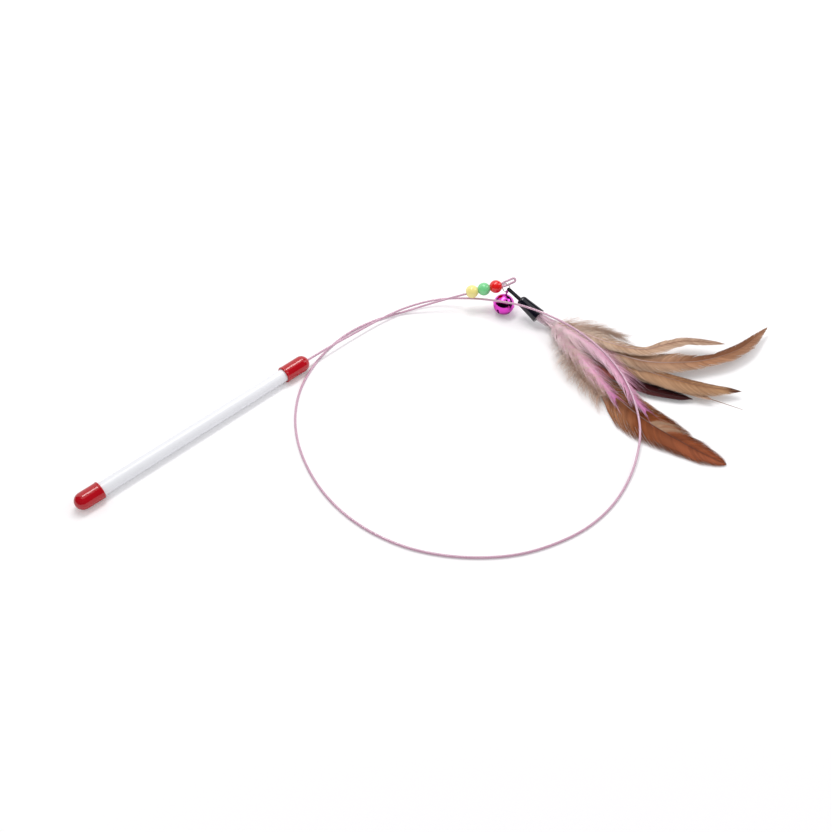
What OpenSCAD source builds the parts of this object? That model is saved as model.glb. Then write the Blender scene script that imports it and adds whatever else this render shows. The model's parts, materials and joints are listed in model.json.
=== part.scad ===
// Cat teaser wand: a hollow handle with two dipped caps, a springy coated wire that lies in one loop,
// and at its folded end three beads, a jump ring, a jingle bell and a feather lure.
// The handle lies along X on its caps, the table is z = 0.

/* [Handle] */
// Length over both caps
handle_len = 169; // [120:1:320]
// Outer diameter of the tube
tube_od = 8.2; // [7.6:0.1:9]
// Wall of the tube
tube_wall = 1; // [0.6:0.1:1.4]

/* [Caps] */
// Length of the front cap over its dome
cap_len = 20; // [14:0.5:30]
// Length of the butt cap over its dome
butt_cap_len = 16.5; // [12:0.5:26]
// Wall of a dipped cap
cap_wall = 1.05; // [0.8:0.05:1.3]
// How far the rolled rim stands out
cap_rim = 0.4; // [0.1:0.05:0.6]

/* [Wire anchor] */
// Length of the bung in the tube's front end
plug_len = 10; // [6:0.5:14]
// Length of the crimped sleeve behind the bung
crimp_len = 6; // [4:0.5:6.5]
// Outer diameter of the crimped sleeve
crimp_od = 3.4; // [2.8:0.1:4.4]

/* [Wire] */
// Diameter of the coated wire
wire_d = 1.5; // [1.2:0.1:1.6]
// Length of the folded eye beyond the beads
eye_len = 10; // [8:0.5:14]
// Free slot between the two strands of the eye
eye_slot = 1.1; // [0.8:0.05:1.6]

/* [Beads] */
// Diameter of a bead
bead_d = 8.8; // [7.6:0.1:9.2]
// Length of a bead along its hole
bead_len = 8; // [7:0.1:8.4]
// Free gap between beads
bead_gap = 0.2; // [0.1:0.05:0.6]

/* [Jump ring] */
// Radius of the ring at the middle of its wire
ring_r = 2.8; // [2.7:0.1:3.2]
// Diameter of the ring's wire
ring_wire_d = 0.6; // [0.5:0.05:0.7]

/* [Bell] */
// Diameter of the bell
bell_d = 14.5; // [13:0.5:15]
// Wall of the bell
bell_wall = 0.45; // [0.3:0.05:0.8]
// Width of the sound slots
bell_slot = 1.1; // [0.8:0.1:1.6]
// Diameter of the rattling pellet
pellet_d = 4; // [3:0.25:5]

/* [Lure cap] */
// Distance from the strap's pivot to the mouth of the cone
lure_reach = 27; // [26:0.5:34]
// Length of the cone
cone_len = 17.5; // [15:0.5:18]
// Diameter of the cone at its shoulder
cone_shoulder_d = 7.6; // [6.8:0.1:8.2]
// Diameter of the cone at its mouth
cone_mouth_d = 10; // [9.4:0.1:10.6]
// Width of the strap
strap_w = 3.4; // [2.4:0.1:3.6]
// Thickness of the strap
strap_t = 1.2; // [0.8:0.1:1.4]

/* [Quills] */
// Outer diameter of the clear sleeve
sleeve_od = 6.4; // [6.2:0.1:7]
// Wall of the clear sleeve
sleeve_wall = 0.6; // [0.3:0.05:0.7]
// Length of the sleeve outside the cone
sleeve_len = 12; // [9:0.5:16]
// Diameter of a quill
quill_d = 1; // [0.8:0.05:1]

/* [Feathers] */
// Thickness of a vane
vane_t = 1.2; // [0.8:0.1:1.3]
// Height of the stacked feathers over the table
stack_h = 10; // [9.5:0.5:11]
// Thickness of the downy plume on the left
fluff_left_h = 3.6; // [2:0.2:4]
// Thickness of the downy plume on top
fluff_top_h = 3; // [2:0.2:3.4]
// Length of the long tan feather, straight from sleeve to tip
tan_long_len = 141.6; // [110:1:170]
// Width of the long tan feather
tan_long_w = 14; // [8:0.5:18]
// Length of the thin curved feather
tan_sickle_len = 110; // [90:1:130]
// Width of the thin curved feather
tan_sickle_w = 7; // [4:0.5:10]
// Length of the middle tan feather
tan_mid_len = 127.6; // [100:1:150]
// Width of the middle tan feather
tan_mid_w = 14; // [8:0.5:18]
// Length of the tan feather with the bare shaft
tan_split_len = 131.7; // [100:1:150]
// Width of the tan feather with the bare shaft
tan_split_w = 12; // [8:0.5:16]
// Length of the dark feather
dark_len = 103.6; // [80:1:120]
// Width of the dark feather
dark_w = 12; // [8:0.5:16]
// Length of the broad rust feather
rust_len = 150; // [120:1:170]
// Width of the broad rust feather
rust_w = 25; // [16:0.5:30]
// Length of the longer pink feather
pink_right_len = 92.7; // [75:1:100]
// Width of the longer pink feather
pink_right_w = 9; // [6:0.5:11]
// Length of the shorter pink feather
pink_left_len = 76; // [60:1:85]
// Width of the shorter pink feather
pink_left_w = 9; // [6:0.5:11]
// Length of the downy plume on the left
fluff_left_len = 75; // [60:1:85]
// Width of the downy plume on the left
fluff_left_w = 22; // [14:0.5:24]
// Length of the downy plume on top
fluff_top_len = 44; // [36:1:54]
// Width of the downy plume on top
fluff_top_w = 11; // [8:0.5:12]

/* [Hidden] */
$fn = 48;
// Named clearances
tube_fit = 0.05;
plug_fit = 0.05;
wire_fit = 0.05;
bead_fit = 0.15;
seat_gap = 0.1;
cut_over = 1;

// Where the wand lies: the tip of the front cap, and the first bead
front_back = 35;
front_aside = 116;
front_end = [-front_back, front_aside];
row_ahead = 82.5;
row_aside = 81.5;
row_height = 14.8;
bead_row_at = [row_ahead, row_aside, row_height];
// Turn of the row of beads about its own line, its dip and its heading
bead_row_turn = [-34.6, -9.8, -38];
// Rise of the folded eye against the row of beads
eye_rise = 12;

tube_r = tube_od / 2;
bore_r = tube_r - tube_wall;
cap_r = tube_r + tube_fit + cap_wall;
// The handle lies on the rims of its caps
handle_at = [front_end[0], front_end[1], cap_r + cap_rim / 2];
tube_len = handle_len - 2 * cap_r;

wire_r = wire_d / 2;
wire_hole_r = wire_r + wire_fit;
wire_sides = 8;
// Strands lie side by side in the beads, and open out in the eye
strand_in_bead = wire_r + seat_gap / 2;
strand_in_eye = (wire_d + eye_slot) / 2;

bead_r = bead_d / 2;
bead_pitch = bead_len + bead_gap;
bead_hole_r = strand_in_bead + wire_r + bead_fit;
bead_bevel = 0.3;

// The wire's middle line: round places chosen by hand along the photographed loop
wire_route = [
    [-57, 116, 5.4], [-35, 116, 5.4], [-14, 115.8, 5], [7, 115.3, 4], [28, 114, 3.6],
    [49, 110, 3.8], [68, 100.5, 4.9], [81, 84.5, 8], [87.5, 65.5, 13.5], [93, 45.5, 17.5],
    [97.5, 25, 18.2], [100.3, 4.3, 16.5], [99.3, -16.5, 13.7], [94, -36.5, 10.3], [83.5, -54.5, 7],
    [69, -70, 4.4], [51.5, -81, 2.3], [32, -88.7, 1.1], [11.3, -92.8, 0.8], [-9.7, -92.3, 0.75],
    [-30, -87, 0.75], [-49, -78, 0.75], [-65.5, -65, 0.75], [-79.5, -49, 0.75], [-90, -31, 0.75],
    [-96.5, -10.5, 0.75], [-98.6, 10.3, 0.75], [-96.6, 31, 0.75], [-90.7, 51.5, 0.75],
    [-81.7, 70.5, 0.75], [-69.3, 87.5, 0.75], [-53.7, 101.7, 0.75], [-35.5, 112, 0.75],
    [-15.4, 118.7, 0.75], [5.5, 121, 0.75], [26.3, 117.8, 0.95], [45.5, 109.5, 2.1], [62.5, 98, 7]
];

// Vector helpers
function unit(v) = v / norm(v);
function mix(a, b, t) = a * (1 - t) + b * t;
function turn_x(v, a) = [v[0], v[1] * cos(a) - v[2] * sin(a), v[1] * sin(a) + v[2] * cos(a)];
function turn_y(v, a) = [v[0] * cos(a) + v[2] * sin(a), v[1], v[2] * cos(a) - v[0] * sin(a)];
function turn_z(v, a) = [v[0] * cos(a) - v[1] * sin(a), v[0] * sin(a) + v[1] * cos(a), v[2]];
function turned(v, a) = turn_z(turn_y(turn_x(v, a[0]), a[1]), a[2]);
// A smooth curve through points: the point a share t past point i
function along(p, i, t) =
    let (a = p[max(i - 1, 0)], b = p[i], c = p[min(i + 1, len(p) - 1)], d = p[min(i + 2, len(p) - 1)])
    (b * 2 + (c - a) * t + (a * 2 - b * 5 + c * 4 - d) * t * t + (b * 3 - a - c * 3 + d) * t * t * t) / 2;
function smooth(p, steps) =
    concat([for (i = [0:len(p) - 2], k = [0:steps - 1]) along(p, i, k / steps)], [p[len(p) - 1]]);
function heading(p, i) = unit(p[min(i + 1, len(p) - 1)] - p[max(i - 1, 0)]);

// Places on the row of beads, whose own line is X and whose strands part along Z
function on_row(v) = bead_row_at + turned(v, bead_row_turn);
function on_row_way(v) = turned(v, bead_row_turn);
eye_from = 2 * bead_pitch + bead_len / 2;
function on_eye(a, side) = [eye_from + a * cos(eye_rise) - side * sin(eye_rise), 0,
                            a * sin(eye_rise) + side * cos(eye_rise)];
// The eye starts behind the first bead, where the free wire meets it
eye_tail = bead_len / 4;
eye_start = [-bead_len / 2 - eye_tail, 0, -strand_in_bead];
eye_bend_steps = 6;
ring_seat = [eye_from + ring_r, 0, ring_r * tan(eye_rise)];
// How far the ring's plane turns out of the plane of the eye
ring_skew = -35;
ring_at = ring_seat - [0, 0, ring_r];
function on_ring(a) = ring_at + turn_z([ring_r * sin(a), 0, -ring_r * cos(a)], ring_skew);
function ring_way(a) = turn_z([cos(a), 0, sin(a)], ring_skew);

// Bell: it hangs by its eyelet from the lowest point of the ring and stands on the table
bell_r = bell_d / 2;
eyelet_r = 1;
eyelet_wire_r = 0.4;
eyelet_stem_r = 0.5;
bell_reach = bell_r + eyelet_r + eyelet_wire_r + seat_gap;
bell_hook = on_row(on_ring(0));
bell_heading = -160;
// A smaller bell hangs straight down, clear of the table
bell_lean = acos(min(1, (bell_hook[2] - bell_r) / bell_reach));
bell_at = bell_hook + bell_reach * [sin(bell_lean) * cos(bell_heading),
                                    sin(bell_lean) * sin(bell_heading), -cos(bell_lean)];
bell_up = unit(bell_hook - bell_at);
bell_axis = on_row_way(ring_way(0));
bell_side = unit(bell_axis - (bell_axis * bell_up) * bell_up);
bell_seam_w = 1;
bell_seam_out = 0.25;
slot_hole_r = bell_slot * 0.8;
// Angle from the bell's lowest point to the round end of a slot
slot_reach = 52;
pellet_r = pellet_d / 2;

// Lure: its strap hangs from the ring, its cone points along lure_way
lure_ring_angle = 50;
lure_hook = on_row(on_ring(lure_ring_angle));
lure_dip = 19.5;
lure_heading = -85.5;
lure_way = turned([1, 0, 0], [0, lure_dip, lure_heading]);
lure_axis = on_row_way(ring_way(lure_ring_angle));
lure_face = unit(lure_axis - (lure_axis * lure_way) * lure_way);
lure_side = cross(lure_face, lure_way);
strap_eye_r = strap_w / 2 + seat_gap;
strap_hole_r = 0.8;
cone_wall = 1;
cone_from = lure_reach - cone_len;
shoulder_r = cone_shoulder_d / 2;
mouth_r = cone_mouth_d / 2;
sleeve_r = sleeve_od / 2;
sleeve_bore_r = sleeve_r - sleeve_wall;
sleeve_fit = 0.1;
pocket_r = sleeve_r + sleeve_fit;
// The sleeve sits this deep in the cone, against the glue
pocket_deep = 6;
glue_len = 4;
strap_end_len = 2;
strap_end_r = 1.8;
// The sleeve bends as it leaves the cone
sleeve_bend = 13;
sleeve_bend_side = 45;
sleeve_bend_r = 2 * sleeve_od;
function on_lure(v) = lure_hook + v[0] * lure_way + v[1] * lure_side + v[2] * lure_face;
function sleeve_end_local() =
    let (elbow = [sleeve_bend_r * sin(sleeve_bend), sleeve_bend_r * (1 - cos(sleeve_bend)), 0],
         rest = sleeve_len - sleeve_bend_r * sleeve_bend * PI / 180,
         flat = elbow + rest * [cos(sleeve_bend), sin(sleeve_bend), 0])
    [lure_reach, 0, 0] + turn_x(flat, sleeve_bend_side);
sleeve_end = on_lure(sleeve_end_local());
sleeve_elbow_way = turn_x([cos(sleeve_bend), sin(sleeve_bend), 0], sleeve_bend_side);

// Quills lie in one bundle: seven in a ring round three
quill_r = quill_d / 2;
quill_ring_r = sleeve_bore_r - quill_r - 3 * seat_gap;
function bundle(share, a) = quill_ring_r * share * [0, cos(a), sin(a)];
// Feathers fan out from the sleeve's end, X being the way of the fan
fan_heading = -80;

// Sets a child down with its own X, Y and Z along the given ways
module set_down(at, x_way, y_way, z_way) {
    multmatrix([[x_way[0], y_way[0], z_way[0], at[0]],
                [x_way[1], y_way[1], z_way[1], at[1]],
                [x_way[2], y_way[2], z_way[2], at[2]],
                [0, 0, 0, 1]]) children();
}
module on_bead_row(v) { translate(bead_row_at) rotate(bead_row_turn) translate(v) children(); }
module along_handle(back) { translate(handle_at - [back, 0, 0]) rotate([0, 90, 0]) children(); }

// A skin over rings of points, all with the same count, closed at both ends
module skin(rings) {
    n = len(rings[0]);
    m = len(rings);
    faces = concat(
        [for (i = [0:m - 2], k = [0:n - 1]) [i * n + k, i * n + (k + 1) % n, (i + 1) * n + (k + 1) % n]],
        [for (i = [0:m - 2], k = [0:n - 1]) [i * n + k, (i + 1) * n + (k + 1) % n, (i + 1) * n + k]],
        [for (k = [1:n - 2]) [0, k + 1, k]],
        [for (k = [1:n - 2]) [(m - 1) * n, (m - 1) * n + k, (m - 1) * n + k + 1]]);
    polyhedron([for (r = rings) each r], [for (f = faces) [f[0], f[2], f[1]]], convexity = 6);
}

// The same, but the last ring joins the first, so the rings go out along the outside and back inside
module hollow_skin(rings) {
    n = len(rings[0]);
    m = len(rings);
    faces = [for (i = [0:m - 1], k = [0:n - 1], half = [0, 1])
        let (j = (i + 1) % m, a = i * n + k, b = i * n + (k + 1) % n, c = j * n + (k + 1) % n, d = j * n + k)
        half == 0 ? [a, c, b] : [a, d, c]];
    polyhedron([for (r = rings) each r], faces, convexity = 6);
}

// A round tube of one radius swept along points, each ring square to the way it heads
function tube_rings(p, radius, sides, ways) = [for (i = [0:len(p) - 1])
    let (t = ways[i], s = unit(cross([0, 0, 1], t)), u = cross(t, s))
    [for (k = [0:sides - 1]) let (a = (k + 0.5) * 360 / sides) p[i] + radius * (cos(a) * s + sin(a) * u)]];

// A dipped cap, open at z = 0 and domed at z = length
module dipped_cap(length, hole_r) {
    rotate_extrude() difference() {
        union() {
            square([cap_r, length - cap_r]);
            square([cap_r + cap_rim / 2, cap_wall]);
            translate([cap_r - cap_rim / 2, cap_wall / 2]) circle(cap_rim);
            intersection() {
                translate([0, length - cap_r]) circle(cap_r);
                square([cap_r, length]);
            }
        }
        translate([0, -cut_over]) square([tube_r + tube_fit, length - cap_r + cut_over]);
        translate([0, length - cap_r]) circle(tube_r + tube_fit);
        if (hole_r > 0) translate([0, length - cap_r]) square([hole_r, cap_r + cut_over]);
        translate([-length, -length]) square([length, 3 * length]);
    }
}

module handle_tube() {
    color("whitesmoke") along_handle(handle_len - cap_r) difference() {
        cylinder(r = tube_r, h = tube_len);
        translate([0, 0, -cut_over]) cylinder(r = bore_r, h = tube_len + 2 * cut_over);
    }
}
module butt_cap() {
    color("crimson") along_handle(handle_len) mirror([0, 0, 1]) translate([0, 0, -butt_cap_len])
        dipped_cap(butt_cap_len, 0);
}
module front_cap() { color("crimson") along_handle(cap_len) dipped_cap(cap_len, wire_hole_r); }

// The bung stops flush with the tube's front end; a shallow groove takes the glue
module anchor_plug() {
    color("ivory") along_handle(cap_r + plug_len) difference() {
        cylinder(r = bore_r - plug_fit, h = plug_len);
        translate([0, 0, -cut_over]) cylinder(r = wire_hole_r, h = plug_len + 2 * cut_over);
        translate([0, 0, plug_len / 2]) rotate_extrude() translate([bore_r, 0]) circle(tube_wall / 2);
    }
}

// The crimped sleeve bears on the bung and holds the wire's inner end
module anchor_crimp() {
    color("silver") along_handle(cap_r + plug_len + crimp_len) difference() {
        cylinder(r = crimp_od / 2, h = crimp_len);
        translate([0, 0, -cut_over]) cylinder(r = wire_hole_r, h = crimp_len + 2 * cut_over);
        for (share = [0.3, 0.7]) translate([0, 0, crimp_len * share])
            rotate_extrude() translate([crimp_od / 2 + wire_r / 4, 0]) circle(wire_r / 2);
    }
}

module wire() {
    p = smooth(concat(wire_route, [on_row(eye_start)]), 2);
    ways = [for (i = [0:len(p) - 1])
        i == 0 ? [1, 0, 0] : i == len(p) - 1 ? on_row_way([1, 0, 0]) : heading(p, i)];
    color("pink") skin(tube_rings(p, wire_r, wire_sides, ways));
}

// The wire's end: straight through the beads, open beyond them, and back beside itself
module wire_eye() {
    leg_shares = [0.04, 0.14, 0.24];
    leg_open_shares = [0.1, 0.75, 1];
    function leg(side) = [for (i = [0:2])
        on_eye(eye_len * leg_shares[i], side * mix(strand_in_bead, strand_in_eye, leg_open_shares[i]))];
    bend_from = eye_len - strand_in_eye;
    bend = [for (k = [0:eye_bend_steps]) let (a = -90 + 180 * k / eye_bend_steps)
        on_eye(bend_from + strand_in_eye * cos(a), strand_in_eye * sin(a))];
    back = leg(1);
    p = concat([eye_start, [eye_from - bead_gap, 0, -strand_in_bead]], leg(-1), bend,
               [back[2], back[1], back[0]],
               [[eye_from - bead_gap, 0, strand_in_bead], [-bead_len / 8, 0, strand_in_bead]]);
    ways = [for (i = [0:len(p) - 1]) heading(p, i)];
    rings = [for (i = [0:len(p) - 1]) let (y = [0, 1, 0], u = cross(ways[i], y))
        [for (k = [0:wire_sides - 1]) let (a = (k + 0.5) * 360 / wire_sides)
            p[i] + wire_r * (cos(a) * y + sin(a) * u)]];
    color("pink") on_bead_row([0, 0, 0]) skin(rings);
}

module bead(place, shade) {
    color(shade) on_bead_row([place * bead_pitch, 0, 0]) rotate([0, 90, 0]) difference() {
        intersection() {
            sphere(bead_r);
            cylinder(r = bead_r + cut_over, h = bead_len, center = true);
        }
        cylinder(r = bead_hole_r, h = bead_d + cut_over, center = true);
        for (m = [0, 1]) mirror([0, 0, m]) translate([0, 0, bead_len / 2 - bead_bevel])
            cylinder(r1 = bead_hole_r, r2 = bead_hole_r + 2 * bead_bevel, h = 2 * bead_bevel);
    }
}

// A bent ring whose ends meet at a fine split
module jump_ring() {
    split = 4;
    color("silver") on_bead_row(ring_at) rotate([90, 0, ring_skew]) rotate([0, 0, split])
        rotate_extrude(angle = 360 - split) translate([ring_r, 0]) circle(ring_wire_d / 2, $fn = 24);
}

module on_bell() { set_down(bell_at, bell_side, cross(bell_up, bell_side), bell_up) children(); }

// Wire eyelet with a stem through the bell's crown and a riveted head inside
module bell_eyelet() {
    stem_from = bell_r - 3 * bell_wall;
    color("mediumvioletred") on_bell() {
        translate([0, 0, bell_reach]) rotate([0, 90, 0])
            rotate_extrude() translate([eyelet_r, 0]) circle(eyelet_wire_r, $fn = 24);
        translate([0, 0, stem_from])
            cylinder(r = eyelet_stem_r, h = bell_reach - eyelet_r - stem_from, $fn = 24);
        translate([0, 0, stem_from - bell_wall]) cylinder(r = 2 * eyelet_stem_r, h = bell_wall, $fn = 24);
    }
}

module bell_shell() {
    difference() {
        union() {
            sphere(bell_r - seat_gap / 2);
            cylinder(r = bell_r + bell_seam_out, h = bell_seam_w, center = true);
        }
        sphere(bell_r - bell_wall);
    }
}
module bell_top() {
    color("magenta") on_bell() difference() {
        bell_shell();
        translate([0, 0, -bell_d]) cylinder(r = bell_d, h = bell_d);
        cylinder(r = eyelet_stem_r + wire_fit, h = bell_d);
    }
}
module bell_bottom() {
    color("magenta") on_bell() difference() {
        bell_shell();
        cylinder(r = bell_d, h = bell_d);
        for (a = [0, 90]) rotate([0, 0, a]) {
            intersection() {
                translate([-bell_d, -bell_slot / 2, -bell_d]) cube([2 * bell_d, bell_slot, bell_d]);
                translate([0, 0, -bell_d]) cylinder(r = bell_r * sin(slot_reach), h = bell_d);
            }
            for (s = [-1, 1]) rotate([0, s * (180 - slot_reach), 0]) cylinder(r = slot_hole_r, h = bell_d);
        }
    }
}
module bell_pellet() {
    color("dimgray") translate(bell_at - [0, 0, bell_r - bell_wall - pellet_r - seat_gap]) sphere(pellet_r);
}

module on_strap() { set_down(lure_hook, lure_way, lure_side, lure_face) children(); }

// Flat strap with a round eye, a stem through the cone's crown and a locking button inside
module lure_strap() {
    stem_to = cone_from + cone_wall + seat_gap;
    color("black") on_strap() {
        difference() {
            linear_extrude(strap_t, center = true) union() {
                circle(strap_eye_r);
                translate([0, -strap_w / 2]) square([stem_to, strap_w]);
            }
            cylinder(r = strap_hole_r, h = strap_t + cut_over, center = true);
        }
        translate([stem_to, 0, 0]) rotate([0, 90, 0]) cylinder(r = strap_end_r, h = strap_end_len);
    }
}

// Cone-shaped cap with a round crown, a pocket for the sleeve and a slot for the strap
module lure_cone() {
    crown_r = shoulder_r / 2;
    color([0.08, 0.08, 0.1]) on_strap() difference() {
        translate([cone_from, 0, 0]) rotate([0, 90, 0]) rotate_extrude() union() {
            square([shoulder_r - crown_r, crown_r]);
            translate([shoulder_r - crown_r, crown_r]) intersection() {
                circle(crown_r);
                translate([0, -crown_r]) square(crown_r);
            }
            polygon([[0, crown_r], [shoulder_r, crown_r], [shoulder_r, shoulder_r],
                     [mouth_r, cone_len], [0, cone_len]]);
        }
        translate([cone_from + cone_wall, 0, 0]) rotate([0, 90, 0])
            cylinder(r = strap_end_r + seat_gap, h = cone_len);
        translate([lure_reach - pocket_deep - glue_len, 0, 0]) rotate([0, 90, 0])
            cylinder(r = pocket_r, h = cone_len);
        translate([0, -strap_w / 2 - seat_gap, -strap_t / 2 - seat_gap])
            cube([cone_len, strap_w + 2 * seat_gap, strap_t + 2 * seat_gap]);
    }
}

// Set glue behind the sleeve, where the quills end
module quill_glue() {
    color("wheat") on_strap() translate([lure_reach - pocket_deep - glue_len, 0, 0]) rotate([0, 90, 0])
        cylinder(r = pocket_r - seat_gap, h = glue_len);
}

// The sleeve starts in the cone's pocket, bends at the mouth and runs straight to its end
module quill_sleeve() {
    sides = 24;
    bends = 4;
    function turned_by(k) = sleeve_bend * k / bends;
    function way(k) = turn_x([cos(turned_by(k)), sin(turned_by(k)), 0], sleeve_bend_side);
    function elbow(k) = [lure_reach, 0, 0]
        + sleeve_bend_r * turn_x([sin(turned_by(k)), 1 - cos(turned_by(k)), 0], sleeve_bend_side);
    p = concat([[lure_reach - pocket_deep, 0, 0]], [for (k = [0:bends]) elbow(k)], [sleeve_end_local()]);
    ways = concat([way(0)], [for (k = [0:bends]) way(k)], [way(bends)]);
    outer = tube_rings(p, sleeve_r, sides, ways);
    inner = tube_rings(p, sleeve_bore_r, sides, ways);
    back = [for (i = [len(p) - 1:-1:0]) inner[i]];
    color([0.95, 0.85, 0.88, 0.5]) on_strap() hollow_skin(concat(outer, back));
}

// One feather: a quill out of the bundle, then a flat blade whose half width follows shares.
// Route shares are along and across the fan by the feather's length, and up by the stack's height.
module feather(length, width, thick, seat, route_shares, width_shares, shade) {
    local_seat = [for (x = [lure_reach - pocket_deep, lure_reach]) on_lure([x, seat[1], seat[2]])];
    bent_seat = turn_x(turn_z(turn_x(seat, -sleeve_bend_side), sleeve_bend), sleeve_bend_side);
    out_seat = on_lure(sleeve_end_local() + bent_seat);
    fan = [for (r = route_shares) let (flat = turn_z([r[0] * length, r[1] * length, 0], fan_heading))
        [sleeve_end[0] + flat[0], sleeve_end[1] + flat[1], r[2] * stack_h]];
    steps = 3;
    p = concat(local_seat, smooth(concat([out_seat], fan), steps));
    spread = len(p) - 3;
    rings = [for (i = [0:len(p) - 1])
        let (t = i == 0 ? lure_way : heading(p, i), s = unit(cross([0, 0, 1], t)), u = cross(t, s),
             q = max(0, (i - 2) / spread), blade = lookup(q, width_shares),
             w = max(quill_r, blade * width / 2), h = mix(quill_r, thick / 2, min(1, 3 * blade)))
        [for (c = [[1, 0], [0.5, 1], [-0.5, 1], [-1, 0], [-0.5, -1], [0.5, -1]])
            p[i] + c[0] * w * s + c[1] * h * u]];
    color(shade) skin(rings);
}

leaf_shares = [[0, 0], [0.15, 0.02], [0.3, 0.4], [0.5, 0.8], [0.7, 1], [0.85, 0.8], [0.95, 0.4], [1, 0.02]];
broad_shares = [[0, 0], [0.12, 0.02], [0.3, 0.55], [0.45, 0.85], [0.65, 1], [0.8, 0.85], [0.93, 0.5],
                [1, 0.05]];
bare_tip_shares = [[0, 0], [0.15, 0.02], [0.3, 0.45], [0.5, 0.9], [0.7, 1], [0.8, 0.8], [0.86, 0], [1, 0]];
hackle_shares = [[0, 0.1], [0.1, 0.4], [0.3, 0.8], [0.6, 1], [0.85, 0.9], [1, 0.3]];
down_shares = [[0, 0], [0.1, 0.15], [0.3, 0.55], [0.55, 1], [0.8, 0.9], [0.95, 0.5], [1, 0.15]];

module feather_tan_long() {
    feather(tan_long_len, tan_long_w, vane_t, bundle(0.38, 75),
        [[0.132, -0.03, 0.72], [0.293, -0.042, 0.86], [0.466, -0.007, 0.84], [0.593, 0.075, 0.8],
         [0.695, 0.175, 0.74], [0.785, 0.34, 0.64], [0.83, 0.563, 0.55]], leaf_shares, "tan");
}
module feather_tan_sickle() {
    feather(tan_sickle_len, tan_sickle_w, vane_t, bundle(1, 40),
        [[0.174, 0, 0.84], [0.379, 0, 1.02], [0.555, 0.055, 1.04], [0.65, 0.185, 1],
         [0.732, 0.285, 0.93], [0.925, 0.405, 0.8]], leaf_shares, "tan");
}
module feather_tan_mid() {
    feather(tan_mid_len, tan_mid_w, vane_t, bundle(0.45, -20),
        [[0.169, -0.04, 0.58], [0.361, -0.055, 0.66], [0.6, -0.045, 0.65], [0.809, 0.01, 0.58],
         [0.993, 0.098, 0.5]], leaf_shares, "peru");
}
module feather_tan_split() {
    feather(tan_split_len, tan_split_w, vane_t, bundle(1, -60),
        [[0.162, -0.045, 0.44], [0.363, -0.062, 0.48], [0.608, -0.075, 0.48], [0.868, -0.03, 0.42],
         [1, 0.004, 0.4]], bare_tip_shares, "tan");
}
module feather_dark() {
    feather(dark_len, dark_w, vane_t, bundle(0.36, 236),
        [[0.204, -0.079, 0.33], [0.436, -0.15, 0.3], [0.746, -0.175, 0.3], [0.996, -0.091, 0.28]],
        leaf_shares, "maroon");
}
module feather_rust() {
    feather(rust_len, rust_w, vane_t, bundle(1, 245),
        [[0.138, -0.075, 0.17], [0.326, -0.18, 0.12], [0.565, -0.268, 0.11], [0.779, -0.3, 0.11],
         [0.95, -0.307, 0.1]], broad_shares, "sienna");
}
module feather_pink_right() {
    feather(pink_right_len, pink_right_w, vane_t, bundle(1, 90),
        [[0.199, -0.055, 0.93], [0.428, -0.122, 0.99], [0.62, -0.215, 0.86], [0.788, -0.329, 0.58],
         [0.918, -0.396, 0.46]], hackle_shares, "hotpink");
}
module feather_pink_left() {
    feather(pink_left_len, pink_left_w, vane_t, bundle(1, 142),
        [[0.211, -0.15, 0.74], [0.432, -0.27, 0.75], [0.648, -0.395, 0.71], [0.863, -0.52, 0.66]],
        hackle_shares, "pink");
}
module plume_left() {
    feather(fluff_left_len, fluff_left_w, fluff_left_h, bundle(1, 193),
        [[0.191, -0.175, 0.44], [0.372, -0.37, 0.42], [0.574, -0.52, 0.4], [0.768, -0.641, 0.38]],
        down_shares, "antiquewhite");
}
module plume_top() {
    feather(fluff_top_len, fluff_top_w, fluff_top_h, bundle(1, -9),
        [[0.313, 0.12, 0.6], [0.605, 0.25, 0.62], [0.96, 0.32, 0.62]], down_shares, "burlywood");
}

handle_tube();
butt_cap();
front_cap();
anchor_plug();
anchor_crimp();
wire();
wire_eye();
bead(0, "khaki");  // bead_yellow
bead(1, "mediumseagreen");  // bead_green
bead(2, "red");  // bead_red
jump_ring();
bell_eyelet();
bell_top();
bell_bottom();
bell_pellet();
lure_strap();
lure_cone();
quill_glue();
quill_sleeve();
feather_tan_long();
feather_tan_sickle();
feather_tan_mid();
feather_tan_split();
feather_dark();
feather_rust();
feather_pink_right();
feather_pink_left();
plume_left();
plume_top();
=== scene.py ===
"""Looks of a cat teaser wand: handle with dipped caps, coated wire, beads, jump ring, bell and feather lure.

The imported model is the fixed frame. Every piece is made in metres where the frame says, as an operator of
its own, and main() calls them in order.
"""

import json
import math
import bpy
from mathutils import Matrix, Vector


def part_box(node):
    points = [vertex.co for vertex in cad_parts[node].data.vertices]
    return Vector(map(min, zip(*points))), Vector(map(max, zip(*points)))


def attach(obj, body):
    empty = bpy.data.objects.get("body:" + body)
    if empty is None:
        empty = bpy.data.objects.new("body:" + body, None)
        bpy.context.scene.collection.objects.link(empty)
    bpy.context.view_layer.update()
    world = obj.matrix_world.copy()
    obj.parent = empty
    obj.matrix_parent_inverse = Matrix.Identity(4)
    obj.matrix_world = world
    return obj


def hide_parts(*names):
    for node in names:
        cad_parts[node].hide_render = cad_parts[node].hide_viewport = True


bl_info = {
    "name": "Cat teaser wand",
    "version": (1, 0, 0),
    "blender": (4, 5, 0),
    "location": "3D Viewport > Sidebar > Wand",
    "description": "Builds a feather teaser wand around its packed frame",
    "category": "Add Mesh",
}

import bmesh
import bpy
import numpy as np
from bpy.props import FloatProperty, FloatVectorProperty, IntProperty, PointerProperty
from mathutils import Euler, Matrix, Vector

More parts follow.
